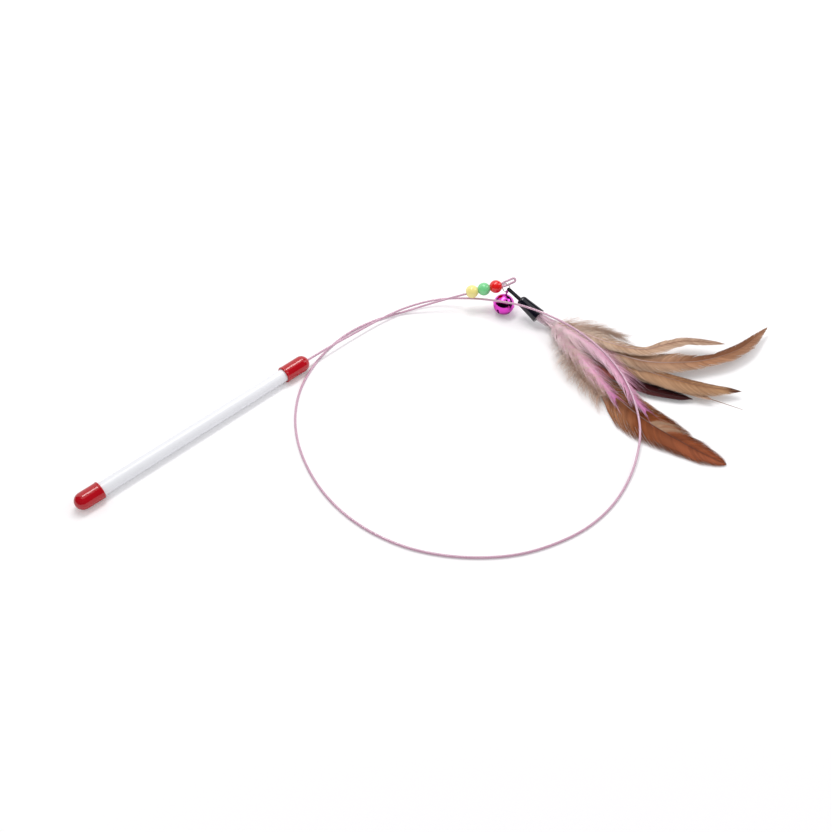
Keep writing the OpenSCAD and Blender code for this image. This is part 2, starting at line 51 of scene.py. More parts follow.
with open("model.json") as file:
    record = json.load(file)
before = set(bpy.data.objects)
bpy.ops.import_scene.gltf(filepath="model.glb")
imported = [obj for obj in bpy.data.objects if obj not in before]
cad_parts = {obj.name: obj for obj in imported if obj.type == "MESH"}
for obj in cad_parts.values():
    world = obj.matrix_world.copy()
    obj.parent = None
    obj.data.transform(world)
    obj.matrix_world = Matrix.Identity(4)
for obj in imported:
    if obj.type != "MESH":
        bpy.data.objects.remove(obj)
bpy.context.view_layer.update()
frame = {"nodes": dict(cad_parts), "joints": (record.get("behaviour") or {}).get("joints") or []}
JOINTS = {joint["name"]: joint for joint in frame["joints"]}

MM = 0.001


def mm(*values):
    """A point or a size given in millimetres."""
    return Vector(values) * MM if len(values) > 1 else values[0] * MM


# Places that the frame gives, and how the row of beads is turned in it
ROW_AT = Vector(JOINTS["bead_yellow_spin"]["pos_m"])
ROW_TURN = Euler([math.radians(a) for a in (-34.6, -9.8, -38)]).to_matrix()
RING_AT = Vector(JOINTS["ring_turn"]["pos_m"])
RING_WAY = Vector(JOINTS["ring_turn"]["axis"]).normalized()
LURE_HOOK = Vector(JOINTS["lure_swing"]["pos_m"])
BUTT_LOW, BUTT_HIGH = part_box("butt_cap")
FRONT_LOW, FRONT_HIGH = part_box("front_cap")
HANDLE_LINE = (BUTT_LOW + BUTT_HIGH) / 2

# The lure's own ways: its heading and dip, and the face of its strap square to the ring
LURE_DIP = math.radians(19.5)
LURE_HEADING = math.radians(-85.5)
LURE_WAY = Euler((0, LURE_DIP, LURE_HEADING)).to_matrix() @ Vector((1, 0, 0))
RING_TANGENT = (LURE_HOOK - RING_AT).cross(RING_WAY).normalized()
LURE_FACE = (RING_TANGENT - RING_TANGENT.dot(LURE_WAY) * LURE_WAY).normalized()
LURE_SIDE = LURE_FACE.cross(LURE_WAY)

# The wire's middle line in millimetres, from inside the handle round the loop to the beads
WIRE_ROUTE = [
    (-57, 116, 5.4), (-35, 116, 5.4), (-14, 115.8, 5), (7, 115.3, 4), (28, 114, 3.6), (49, 110, 3.8),
    (68, 100.5, 4.9), (81, 84.5, 8), (87.5, 65.5, 13.5), (93, 45.5, 17.5), (97.5, 25, 18.2),
    (100.3, 4.3, 16.5), (99.3, -16.5, 13.7), (94, -36.5, 10.3), (83.5, -54.5, 7), (69, -70, 4.4),
    (51.5, -81, 2.3), (32, -88.7, 1.1), (11.3, -92.8, 0.8), (-9.7, -92.3, 0.75), (-30, -87, 0.75),
    (-49, -78, 0.75), (-65.5, -65, 0.75), (-79.5, -49, 0.75), (-90, -31, 0.75), (-96.5, -10.5, 0.75),
    (-98.6, 10.3, 0.75), (-96.6, 31, 0.75), (-90.7, 51.5, 0.75), (-81.7, 70.5, 0.75),
    (-69.3, 87.5, 0.75), (-53.7, 101.7, 0.75), (-35.5, 112, 0.75), (-15.4, 118.7, 0.75),
    (5.5, 121, 0.75), (26.3, 117.8, 0.95), (45.5, 109.5, 2.1), (62.5, 98, 7),
]
WIRE_EXIT = mm(-35, 116, 5.4)
WIRE_LENGTH = mm(801)

# Fits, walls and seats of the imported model, in metres. The strands end a share of a bead before the row
CAP_FIT = mm(0.05)
CAP_HOLE = mm(0.8)
STRAND_FIT = mm(0.05)
STRAND_START = -0.75
BEAD_GAP = mm(0.2)
EYE_RISE = math.radians(12)
STRAP_HOLE = mm(0.8)
SLEEVE_WALL = mm(0.6)
QUILL_RADIUS = mm(0.5)
QUILL_ROOM = mm(0.3)
QUILL_SEAT = mm(6)

# The sleeve's bend as it leaves the cone and the side it bends to, the heading of the fan of feathers, all
# in degrees, and the height of the feathers' stack
SLEEVE_BEND, SLEEVE_SIDE = 13, 45
FAN_HEADING = -80
STACK = mm(10)

# How deep the strands' grooves are, as a share of the radius, and how finely loop and eye are drawn
GROOVE_DEPTH = 0.07
LOOP_STEP, EYE_STEP = mm(0.75), mm(0.4)

# Half of how far the locks on the two sides of a vane are shifted, in locks, the streaks of one tone in a
# lock, and the shortest barb that is worth making
LOCK_SHIFT, LOCK_STREAKS = 0.25, 2.6
SHORTEST_BARB = mm(0.35)


def size(name, note, default):
    """A length that a user may change, given in millimetres."""
    return FloatProperty(name=name, description=note, default=mm(default), unit="LENGTH")


def angle(name, note, default):
    """An angle that a user may change, given in degrees."""
    return FloatProperty(name=name, description=note, default=math.radians(default), subtype="ANGLE")


def shade(name, note, *default):
    """A colour that a user may change."""
    return FloatVectorProperty(name=name, description=note, default=default, subtype="COLOR")


class HandleSettings(bpy.types.PropertyGroup):
    """Sizes and colours of the handle."""

    tube_diameter: size("Tube diameter", "Outside of the white tube", 8.2)
    tube_wall: size("Tube wall", "Wall of the white tube", 1)
    cap_wall: size("Cap wall", "Wall of a dipped cap", 1.05)
    cap_rim: size("Cap rim", "How far the rolled rim stands out", 0.2)
    tube_colour: shade("Tube colour", "Colour of the tube", 0.9, 0.91, 0.95)
    cap_colour: shade("Cap colour", "Colour of the dipped caps", 0.48, 0.006, 0.014)


class WireSettings(bpy.types.PropertyGroup):
    """Sizes and colours of the coated wire."""

    diameter: size("Diameter", "Outside of the coat", 1.5)
    lay: size("Lay", "Length of one turn of the strands", 9)
    strands: IntProperty(name="Strands", description="Outer strands that show through the coat", default=6)
    eye_length: size("Eye length", "Length of the folded eye beyond the beads", 10)
    eye_slot: size("Eye slot", "Free slot between the strands of the eye", 1.1)
    crest_colour: shade("Coat colour", "Colour over the strands", 0.76, 0.46, 0.6)
    groove_colour: shade("Groove colour", "Colour between the strands", 0.3, 0.16, 0.24)


class BeadSettings(bpy.types.PropertyGroup):
    """Sizes and colours of the beads."""

    diameter: size("Diameter", "Diameter of a bead", 8.8)
    length: size("Length", "Length of a bead along its hole", 8)
    hole: size("Hole", "Radius of the hole", 1.7)
    yellow: shade("Yellow", "Colour of the first bead", 0.97, 0.84, 0.3)
    green: shade("Green", "Colour of the second bead", 0.21, 0.7, 0.3)
    red: shade("Red", "Colour of the third bead", 0.84, 0.016, 0.016)


class BellSettings(bpy.types.PropertyGroup):
    """Sizes of the ring that the bell hangs from, and the bell's colour."""

    ring_radius: size("Ring radius", "Radius of the jump ring at its wire's middle", 2.8)
    ring_wire: size("Ring wire", "Diameter of the ring's wire", 0.6)
    colour: shade("Colour", "Colour of the lacquered metal", 0.8, 0.07, 0.62)


class LureSettings(bpy.types.PropertyGroup):
    """Sizes and colours of the lure's strap, cone and sleeve."""

    reach: size("Reach", "From the strap's pivot to the mouth of the cone", 27)
    cone_length: size("Cone length", "Length of the cone", 17.5)
    shoulder: size("Shoulder", "Radius of the cone's shoulder", 3.8)
    mouth: size("Mouth", "Radius of the cone's mouth", 5)
    strap_width: size("Strap width", "Width of the strap", 3.4)
    strap_thickness: size("Strap thickness", "Thickness of the strap", 1.2)
    sleeve_diameter: size("Sleeve diameter", "Outside of the clear sleeve", 6.4)
    sleeve_length: size("Sleeve length", "Length of the sleeve outside the cone", 12)
    cone_colour: shade("Cone colour", "Colour of the cone", 0.006, 0.006, 0.012)
    strap_colour: shade("Strap colour", "Colour of the strap", 0.008, 0.008, 0.011)


class StageSettings(bpy.types.PropertyGroup):
    """The photograph's view and the studio light."""

    azimuth: angle("Azimuth", "Heading of the view", -44.6)
    elevation: angle("Elevation", "How far the view looks down", 46.5)
    distance: size("Distance", "From the camera to the point it looks at", 585)
    focal: FloatProperty(name="Focal length", description="Lens on a 36 mm sensor, in millimetres",
                         default=41.1)
    world: FloatProperty(name="World", description="Strength of the light from all round", default=0.64)
    key: FloatProperty(name="Key", description="Power of the main lamp, in watts", default=2.1)


SETTINGS = {
    "wand_handle": HandleSettings,
    "wand_wire": WireSettings,
    "wand_beads": BeadSettings,
    "wand_bell": BellSettings,
    "wand_lure": LureSettings,
    "wand_stage": StageSettings,
}


class Output:
    """One output of a node."""

    def __init__(self, graph, socket):
        self.graph = graph
        self.socket = socket


class Value(Output):
    """A number's output with the arithmetic of numbers: an expression adds its Math nodes."""

    def math(self, operation, *others):
        return self.graph.add("ShaderNodeMath", {"operation": operation}, dict(enumerate((self, *others))))

    def __add__(self, other):
        return self.math("ADD", other)

    def __sub__(self, other):
        return self.math("SUBTRACT", other)

    def __rsub__(self, other):
        return self.graph.add("ShaderNodeMath", {"operation": "SUBTRACT"}, {0: other, 1: self})

    def __mul__(self, other):
        return self.math("MULTIPLY", other)

    def __truediv__(self, other):
        return self.math("DIVIDE", other)

    def __pow__(self, other):
        return self.math("POWER", other)

    def __neg__(self):
        return self * -1

    __radd__ = __add__
    __rmul__ = __mul__

    def clamp(self):
        return self.math("MAXIMUM", 0).math("MINIMUM", 1)

    def smooth(self, low, high):
        """0 below low, 1 above high and a smooth step between them."""
        return self.graph.add("ShaderNodeMapRange", {"interpolation_type": "SMOOTHSTEP"},
                              {"Value": self, "From Min": low, "From Max": high})


class Arrow(Output):
    """A vector's output with the arithmetic of vectors."""

    def math(self, operation, *others, out=0):
        settings = {"operation": operation}
        return self.graph.add("ShaderNodeVectorMath", settings, dict(enumerate((self, *others))), out)

    def __add__(self, other):
        return self.math("ADD", other)

    def __sub__(self, other):
        return self.math("SUBTRACT", other)

    def __mul__(self, other):
        return self.graph.add("ShaderNodeVectorMath", {"operation": "SCALE"}, {0: self, "Scale": other})

    def cross(self, other):
        return self.math("CROSS_PRODUCT", other)

    def unit(self):
        return self.math("NORMALIZE")

    def part(self, axis):
        return self.graph.add("ShaderNodeSeparateXYZ", {}, {0: self}, axis)


class Graph:
    """A node tree, with one method that adds any node to it."""

    def __init__(self, tree):
        self.tree = tree

    def put(self, socket, value):
        """Links a value to a socket, or sets it there. A list goes to a socket that takes many links."""
        if isinstance(value, list):
            for item in value:
                self.put(socket, item)
            return
        value = value.socket if isinstance(value, Output) else value
        if isinstance(value, bpy.types.NodeSocket):
            self.tree.links.new(value, socket)
        else:
            socket.default_value = (*value[:3], 1) if socket.type == "RGBA" else value

    def add(self, kind, settings=None, values=None, out=0):
        """Adds a node: its settings first, then the values or links of its sockets. Returns one output."""
        node = self.tree.nodes.new(kind)
        for key, setting in (settings or {}).items():
            if key == "stops":
                self.set_stops(node.color_ramp, setting)
            else:
                setattr(node, key, setting)
        for key, value in (values or {}).items():
            self.put(node.inputs[key], value)
        if not node.outputs:
            return node
        socket = node.outputs[out]
        if socket.type == "VECTOR":
            return Arrow(self, socket)
        return Value(self, socket) if socket.type in {"VALUE", "INT"} else socket

    @staticmethod
    def set_stops(ramp, stops):
        while len(ramp.elements) < len(stops):
            ramp.elements.new(1)
        for element, (place, colour) in zip(ramp.elements, stops):
            element.position = place
            element.color = (*colour, 1)


class Finish(Graph):
    """A new material with its graph, its shader and object coordinates in metres."""

    def __init__(self, name):
        self.material = bpy.data.materials.new(name)
        self.material.use_nodes = True
        super().__init__(self.material.node_tree)
        self.shader = self.tree.nodes["Principled BSDF"]
        self.spot = self.add("ShaderNodeTexCoord", {}, {}, "Object")

    def feed(self, **links):
        """Links or sets the shader's sockets, named with underscores for spaces. Returns the material."""
        for name, value in links.items():
            self.put(self.shader.inputs[name.replace("_", " ")], value)
        return self.material

    def mix(self, share, first, second):
        """One colour turning into another."""
        return self.add("ShaderNodeMix", {"data_type": "RGBA"}, {0: share, 6: first, 7: second}, 2)

    def noise(self, scale, detail=2.0, stretch=(1, 1, 1)):
        """Cloudy noise from 0 to 1, at a scale per metre, on stretched coordinates."""
        place = self.spot.math("MULTIPLY", stretch)
        return self.add("ShaderNodeTexNoise", {}, {"Vector": place, "Scale": scale, "Detail": detail})

    def bump(self, height, distance, strength):
        """A normal from a height of 0 to 1 and the real distance it stands for."""
        return self.add("ShaderNodeBump", {}, {"Height": height, "Distance": distance, "Strength": strength})

    def attribute(self, name):
        """What the piece keeps at each point under that name."""
        return self.add("ShaderNodeAttribute", {"attribute_name": name}, {}, "Fac")


def srgb(colour):
    """A colour as a screen gives it, from 0 to 255, turned into light."""
    parts = [c / 255 for c in colour]
    return tuple(c / 12.92 if c <= 0.04045 else ((c + 0.055) / 1.055) ** 2.4 for c in parts)


def tint(colour, share):
    """The colour times a share, kept under 1."""
    return tuple(min(1, c * share) for c in colour[:3])


def moulded_plastic(name, colour, roughness, peel=mm(0.02), shine=0.5):
    """Moulded or dipped plastic: faint mottling, uneven gloss and a fine orange peel."""
    finish = Finish(name)
    cloud, grain = finish.noise(260, 3), finish.noise(2200, 2)
    mottle = 0.04
    base = finish.mix(cloud, tint(colour, 1 - mottle), tint(colour, 1 + mottle))
    return finish.feed(Base_Color=base, Roughness=roughness + (cloud - 0.5) * 0.06 + (grain - 0.5) * 0.04,
                       Specular_IOR_Level=shine, Normal=finish.bump(grain, peel, 0.35))


def plated_metal(name, colour, roughness):
    """Bright plated or lacquered metal with faint handling marks."""
    finish = Finish(name)
    marks = finish.noise(900, 4, (1, 0.25, 1))
    base = finish.mix(finish.noise(180, 2), tint(colour, 0.93), colour)
    return finish.feed(Base_Color=base, Metallic=1.0, Roughness=roughness + (marks - 0.5) * 0.05,
                       Normal=finish.bump(marks, mm(0.01), 0.12))


def coated_wire(settings):
    """Twisted strands under a clear pink coat: dark in the grooves, pink on the crests."""
    finish = Finish("wire_coat")
    groove = finish.attribute("groove")
    crest = settings.crest_colour
    crest = finish.mix(finish.noise(60, 2), tint(crest, 0.92), tint(crest, 1.08))
    base = finish.mix(groove.smooth(0.1, 0.95), crest, settings.groove_colour)
    return finish.feed(Base_Color=base, Roughness=0.25 - groove * 0.08, Coat_Weight=0.8, Coat_Roughness=0.06)


def new_object(name, data):
    """An object in the scene, at the origin."""
    piece = bpy.data.objects.new(name, data)
    bpy.context.scene.collection.objects.link(piece)
    return piece


def mesh_piece(name, vertices, faces, material):
    """A smooth mesh object at the origin, with its place in its mesh."""
    mesh = bpy.data.meshes.new(name)
    mesh.from_pydata([tuple(v) for v in vertices], [], faces)
    mesh.materials.append(material)
    mesh.polygons.foreach_set("use_smooth", [True] * len(mesh.polygons))
    return new_object(name, mesh)


def plain_mesh(holder):
    """The mesh that an object comes to with its modifiers. The object itself is removed."""
    bpy.context.view_layer.update()
    mesh = bpy.data.meshes.new_from_object(holder.evaluated_get(bpy.context.evaluated_depsgraph_get()))
    bpy.data.objects.remove(holder)
    return mesh


def face_out(piece):
    """Makes every face of a closed mesh point outwards, with its doubles merged first."""
    work = bmesh.new()
    work.from_mesh(piece.data)
    bmesh.ops.remove_doubles(work, verts=work.verts, dist=1e-7)
    bmesh.ops.recalc_face_normals(work, faces=work.faces)
    work.to_mesh(piece.data)
    work.free()


def fixed(piece, body, node):
    """The piece rides on its body and stands for its node, which is hidden."""
    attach(piece, body)
    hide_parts(node)


def dress(node, material):
    """Gives a CAD node, which stays where and as it is, its material."""
    mesh = frame["nodes"][node].data
    if not mesh.materials:
        mesh.materials.append(material)
    for slot in frame["nodes"][node].material_slots:
        slot.material = material


def placed(at, way, up=None):
    """A matrix whose Z lies along way and whose Y is as near up as it can be."""
    z = Vector(way).normalized()
    guide = up or (Vector((0, 0, 1)) if abs(z.z) < 0.9 else Vector((1, 0, 0)))
    x = guide.cross(z).normalized()
    return Matrix.Translation(at) @ Matrix((x, z.cross(x), z)).transposed().to_4x4()


def arc(centre, radius, start, stop, steps):
    """Points of a round stretch of a profile, from one angle to another, in degrees."""
    turns = [math.radians(start + (stop - start) * k / steps) for k in range(steps + 1)]
    return [(centre[0] + radius * math.cos(t), centre[1] + radius * math.sin(t)) for t in turns]


def lathe(name, profile, place, material, sides=96, wave=None):
    """Turns a closed profile of (radius, height) about Z. A point at radius 0 is a pole."""
    vertices, rings = [], []
    for radius, height in profile:
        start = len(vertices)
        if radius <= 0:
            rings.append([start])
            vertices.append(place @ Vector((0, 0, height)))
            continue
        for k in range(sides):
            a = 2 * math.pi * k / sides
            r = radius + (wave(a, height) if wave else 0)
            vertices.append(place @ Vector((r * math.cos(a), r * math.sin(a), height)))
        rings.append(list(range(start, start + sides)))
    pairs = list(zip(rings, rings[1:]))
    if len(rings[0]) > 1:
        pairs.append((rings[-1], rings[0]))
    faces = []
    for low, high in pairs:
        for k in range(sides):
            n = (k + 1) % sides
            if len(low) == 1 and len(high) > 1:
                faces.append((low[0], high[n], high[k]))
            elif len(high) == 1 and len(low) > 1:
                faces.append((low[k], low[n], high[0]))
            elif len(low) > 1:
                faces.append((low[k], low[n], high[n], high[k]))
    piece = mesh_piece(name, vertices, faces, material)
    face_out(piece)
    return piece


def sweep(name, points, radii, material, sides=24, loop=False, ways=None):
    """A round tube along a path, with a radius at each point, whose rings are carried along untwisted."""
    count = len(points)
    ways = ways or headings(points)
    side = ways[0].orthogonal().normalized()
    vertices, faces = [], []
    for point, way, radius in zip(points, ways, radii):
        side = (side - side.dot(way) * way).normalized()
        up = way.cross(side)
        for k in range(sides):
            a = 2 * math.pi * k / sides
            vertices.append(point + radius * (math.cos(a) * side + math.sin(a) * up))
    for i in range(count if loop else count - 1):
        j = (i + 1) % count
        for k in range(sides):
            n = (k + 1) % sides
            faces.append((i * sides + k, i * sides + n, j * sides + n, j * sides + k))
    if not loop:
        faces.append(tuple(reversed(range(sides))))
        faces.append(tuple(range((count - 1) * sides, count * sides)))
    piece = mesh_piece(name, vertices, faces, material)
    face_out(piece)
    return piece


def headings(points):
    """The way of an open line at each of its points."""
    last = len(points) - 1
    return [(points[min(i + 1, last)] - points[max(i - 1, 0)]).normalized() for i in range(last + 1)]


def smooth_path(points, steps):
    """The smooth curve that passes through the points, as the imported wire's does."""
    last = len(points) - 1
    path = []
    for i in range(last):
        a, b, c, d = points[max(i - 1, 0)], points[i], points[i + 1], points[min(i + 2, last)]
        for k in range(steps):
            t = k / steps
            path.append((b * 2 + (c - a) * t + (a * 2 - b * 5 + c * 4 - d) * t ** 2
                         + (b * 3 - a - c * 3 + d) * t ** 3) / 2)
    return path + [points[last]]


def look_up(place, table):
    """The value of a table of (place, value) at a place."""
    for (a, low), (b, high) in zip(table, table[1:]):
        if place <= b:
            return low + (high - low) * max(0, place - a) / (b - a)
    return table[-1][1]


def turned(place, axis, degrees):
    """A place turned about X, Y or Z."""
    return Matrix.Rotation(math.radians(degrees), 3, axis) @ place


def on_row(place):
    """A place on the row of beads, in metres: along the row, across it, and where the strands part."""
    return ROW_AT + ROW_TURN @ place


def on_lure(place):
    """A place on the lure, in metres: along it, to its side and out of the strap's face."""
    return LURE_HOOK + place.x * LURE_WAY + place.y * LURE_SIDE + place.z * LURE_FACE


class GrowthTree(Graph):
    """A Geometry Nodes tree with named inputs after its geometry, which its own nodes read as given."""

    def __init__(self, name, inputs):
        super().__init__(bpy.data.node_groups.new(name, "GeometryNodeTree"))
        sockets = self.tree.interface.new_socket
        for way in ("INPUT", "OUTPUT"):
            sockets(name="Geometry", in_out=way, socket_type="NodeSocketGeometry")
        for label, kind in inputs.items():
            sockets(name=label, in_out="INPUT", socket_type="NodeSocket" + kind)
        self.given = {socket.name: Value(self, socket) if socket.type in {"VALUE", "INT"} else socket
                      for socket in self.tree.nodes.new("NodeGroupInput").outputs}

    def named(self, name, vector=False):
        """What an attribute of that name holds at each point."""
        kind = "FLOAT_VECTOR" if vector else "FLOAT"
        return self.add("GeometryNodeInputNamedAttribute", {"data_type": kind}, {"Name": name})

    def store(self, geometry, name, value):
        """The geometry with an attribute stored on its points."""
        kind = "FLOAT_VECTOR" if isinstance(value, Arrow) else "FLOAT"
        return self.add("GeometryNodeStoreNamedAttribute", {"data_type": kind, "domain": "POINT"},
                        {"Geometry": geometry, "Name": name, "Value": value})

    def chance(self, number, seed):
        """A random number from 0 to 1 that stays the same for a number and a seed."""
        values = {2: 0.0, 3: 1.0, 7: number, 8: seed}
        return self.add("FunctionNodeRandomValue", {"data_type": "FLOAT"}, values, 1)

    def position(self):
        return self.add("GeometryNodeInputPosition")

    def circle(self, sides):
        return self.add("GeometryNodeCurvePrimitiveCircle", {}, {"Resolution": sides, "Radius": 1.0})

    def tube(self, line, outline, **more):
        """The outline carried along the line, with its ends closed."""
        return self.add("GeometryNodeCurveToMesh", {},
                        {"Curve": line, "Profile Curve": outline, "Fill Caps": True, **more})

    def moved(self, geometry, place):
        return self.add("GeometryNodeSetPosition", {}, {"Geometry": geometry, "Position": place})

    def shaded(self, geometry, smooth):
        return self.add("GeometryNodeSetShadeSmooth", {}, {"Geometry": geometry, "Shade Smooth": smooth})

    def joined(self, parts):
        return self.add("GeometryNodeJoinGeometry", {}, {0: parts})

    def covered(self, geometry, label):
        return self.add("GeometryNodeSetMaterial", {}, {"Geometry": geometry, "Material": self.given[label]})

    def close(self, geometry):
        """Gives the geometry to the tree's output. Returns the tree."""
        self.put(self.tree.nodes.new("NodeGroupOutput").inputs["Geometry"], geometry)
        return self.tree


def grown(name, mesh, tree, values):
    """Runs a geometry tree on a mesh and returns the plain mesh object that comes out."""
    holder = new_object(name + "_path", mesh)
    modifier = holder.modifiers.new("grow", "NODES")
    modifier.node_group = tree
    sockets = {item.name: item.identifier for item in tree.interface.items_tree
               if item.item_type == "SOCKET" and item.in_out == "INPUT"}
    for label, value in values.items():
        modifier[sockets[label]] = value
    result = plain_mesh(holder)
    result.name = name
    return new_object(name, result)


def line_mesh(name, path, **columns):
    """A mesh of one open line, with a number or a vector at each point for every named column."""
    mesh = bpy.data.meshes.new(name)
    mesh.from_pydata([tuple(p) for p in path], [(i, i + 1) for i in range(len(path) - 1)], [])
    for label, column in columns.items():
        flat = not hasattr(column[0], "__len__")
        attribute = mesh.attributes.new(label, "FLOAT" if flat else "FLOAT_VECTOR", "POINT")
        attribute.data.foreach_set("value" if flat else "vector", np.array(column, np.float32).ravel())
    return mesh


def strand_tree():
    """Coated strands: a lobed outline carried along a line and turned once in every lay."""
    sizes = dict.fromkeys(("Radius", "Lay", "Strands", "Groove", "Step"), "Float")
    tree = GrowthTree("coated_strands", {**sizes, "Coat": "Material"})
    given = tree.given
    line = tree.add("GeometryNodeMeshToCurve", {}, {0: given["Geometry"]})
    line = tree.add("GeometryNodeResampleCurve", {"mode": "LENGTH"}, {"Curve": line, "Length": given["Step"]})
    turns = tree.add("GeometryNodeSplineParameter", {}, {}, "Length") / given["Lay"] * (2 * math.pi)
    line = tree.add("GeometryNodeSetCurveTilt", {}, {"Curve": line, "Tilt": turns})
    place = tree.position()
    around = place.part(1).math("ARCTAN2", place.part(0))
    groove = (0.5 - (around * given["Strands"]).math("COSINE") * 0.5) ** 3
    outline = tree.store(tree.circle(30), "groove", groove)
    rim = place * (given["Radius"] * (1 - tree.named("groove") * given["Groove"]))
    tube = tree.shaded(tree.tube(line, tree.moved(outline, rim)), True)
    tube = tree.add("GeometryNodeRealizeInstances", {}, {0: tube})
    return tree.close(tree.covered(tube, "Coat"))


def barb_tree():
    """Barbs on both sides of a shaft.

    The line carries, at each point, the way up from the vane, the reach and lean of the barbs of either
    side, and how downy they are. Barbs keep together in locks whose tips meet, so the edge splits.
    """
    sizes = dict.fromkeys(("Length", "Width", "Thickness", "Locks", "Clump", "Ragged", "Camber", "Lift",
                           "Curl", "Roll", "Taper", "Tilt", "Shaft"), "Float")
    tree = GrowthTree("barbs", {"Count": "Int", "Steps": "Int", **sizes, "Seed": "Int", "Vane": "Material",
                                "Stem": "Material"})
    given = tree.given
    line = stem = tree.add("GeometryNodeMeshToCurve", {}, {0: given["Geometry"]})
    line = tree.add("GeometryNodeResampleCurve", {"mode": "COUNT"}, {"Curve": line, "Count": given["Count"]})
    line = tree.store(line, "way", tree.add("GeometryNodeInputTangent"))
    share, loose = tree.named("share"), tree.named("loose")
    way, up = tree.named("way", True), tree.named("up", True)

    hair = tree.add("GeometryNodeCurvePrimitiveLine", {}, {"Start": (0, 0, 0), "End": (1, 0, 0)})
    hair = tree.add("GeometryNodeResampleCurve", {"mode": "COUNT"}, {"Curve": hair, "Count": given["Steps"]})
    hair = tree.tube(hair, tree.store(tree.circle(3), "section", tree.position()))
    hair = tree.store(hair, "barb", tree.position().part(0))

    index = tree.add("GeometryNodeInputIndex")
    sides = []
    for label, sign in (("left", 1), ("right", -1)):
        seed = given["Seed"] + 10 * sign
        # Each barb has its own draws: its tone, its length and lift, its turn, and the lock it keeps to
        tone, second, third, waver = [tree.chance(index, seed + k) for k in range(4)]
        waver = waver * 0.5
        lock = (share * given["Locks"] + waver + LOCK_SHIFT * sign).math("FLOOR")
        lock_tone, lock_lift = [tree.chance(lock, seed + k) for k in (4, 5)]
        streak = tree.chance((share * given["Locks"] * LOCK_STREAKS + waver).math("FLOOR"), seed + 6)
        reach = tree.named(label) * (1 - given["Ragged"] * (0.7 * lock_tone + 0.3 * second))
        centre = (lock + 0.5 - LOCK_SHIFT * sign) / given["Locks"]
        pull = (centre - share) * given["Length"] * given["Clump"] * (1 - loose)
        lift = given["Camber"] + given["Lift"] * (lock_lift - 0.5 + (second - 0.5) * 0.3)
        turn = (third - 0.5) * (given["Roll"] * loose + 0.03)
        side = tree.add("ShaderNodeVectorRotate", {"rotation_type": "AXIS_ANGLE"},
                        {"Vector": up.cross(way).unit() * sign, "Axis": way, "Angle": turn})
        kept = {"root": tree.position(), "aside": side * reach,
                "ahead": way * (reach * tree.named("lean_" + label)), "pulled": way * pull,
                "raised": up * (reach * lift), "span": reach, "tone": tone, "lock": lock_tone,
                "streak": streak, "flank": second * 0.1 + (0.9 if sign > 0 else 0.0)}
        points = tree.add("GeometryNodeCurveToPoints", {"mode": "EVALUATED"}, {"Curve": line})
        for name, value in kept.items():
            points = tree.store(points, name, value)
        short = tree.named("span").math("LESS_THAN", SHORTEST_BARB)
        points = tree.add("GeometryNodeDeleteGeometry", {"domain": "POINT"}, {0: points, 1: short})
        sides.append(tree.add("GeometryNodeInstanceOnPoints", {}, {"Points": points, "Instance": hair}))
    both = tree.add("GeometryNodeRealizeInstances", {}, {0: tree.joined(sides)})

    # Each barb is a three-sided strip that spreads from its root, pulled to its lock and raised towards its
    # tip, and drifts through a noise of its own as far as it is downy
    t, section = tree.named("barb"), tree.named("section", True)
    across, high = section.part(1) / 0.866, -section.part(0)
    narrow = (1 - t ** given["Taper"]) * (1 - 0.25 * loose)
    spread = t * (1.3 - t * 0.3)
    forward = t * (0.35 + t * 0.65)
    place = tree.add("ShaderNodeCombineXYZ", {}, {0: t * 2.6, 1: tree.named("tone") * 31.0, 2: share * 9.0})
    cloud = tree.add("ShaderNodeTexNoise", {}, {"Vector": place, "Scale": 1.0, "Detail": 1.5}, "Color")
    drift = Arrow(tree, cloud) - (0.5, 0.5, 0.5)
    curl = tree.named("span") * given["Curl"] * (0.06 + loose * 0.94) * t
    half = given["Width"] * 0.5
    moved = (tree.named("root", True) + tree.named("aside", True) * spread
             + tree.named("ahead", True) * forward + tree.named("pulled", True) * (t * t)
             + tree.named("raised", True) * (t * t) + drift * curl
             + way * (across * half * narrow)
             + up * (high * given["Thickness"] * 0.5 + across * half * given["Tilt"]) * narrow)
    # No barb sinks into the table: its tip stays a little above it
    table = (tree.named("tone") * mm(1.2) + mm(0.2)) * t
    rested = tree.add("ShaderNodeCombineXYZ", {}, {0: moved.part(0), 1: moved.part(1),
                                                   2: moved.part(2).math("MAXIMUM", table)})
    both = tree.shaded(tree.store(tree.moved(both, rested), "along", t), False)
    stem = tree.tube(stem, tree.circle(8), Scale=given["Shaft"] * (1.1 - share) ** 0.6)
    return tree.close(tree.joined([tree.covered(both, "Vane"), tree.covered(stem, "Stem")]))


def sleeve_line(settings, steps=12):
    """The sleeve's middle from its seat in the cone, round the bend, to its end, on the lure."""
    radius = 2 * settings.sleeve_diameter
    bend = math.radians(SLEEVE_BEND)
    line = [Vector((settings.reach - QUILL_SEAT, 0, 0)), Vector((settings.reach - mm(1), 0, 0))]
    for k in range(steps + 1):
        a = bend * k / steps
        line.append(Vector((settings.reach, 0, 0))
                    + turned(Vector((radius * math.sin(a), radius * (1 - math.cos(a)), 0)), "X", SLEEVE_SIDE))
    rest = settings.sleeve_length - radius * bend
    way = turned(Vector((math.cos(bend), math.sin(bend), 0)), "X", SLEEVE_SIDE)
    return line + [line[-1] + way * rest * k / 4 for k in range(1, 5)]


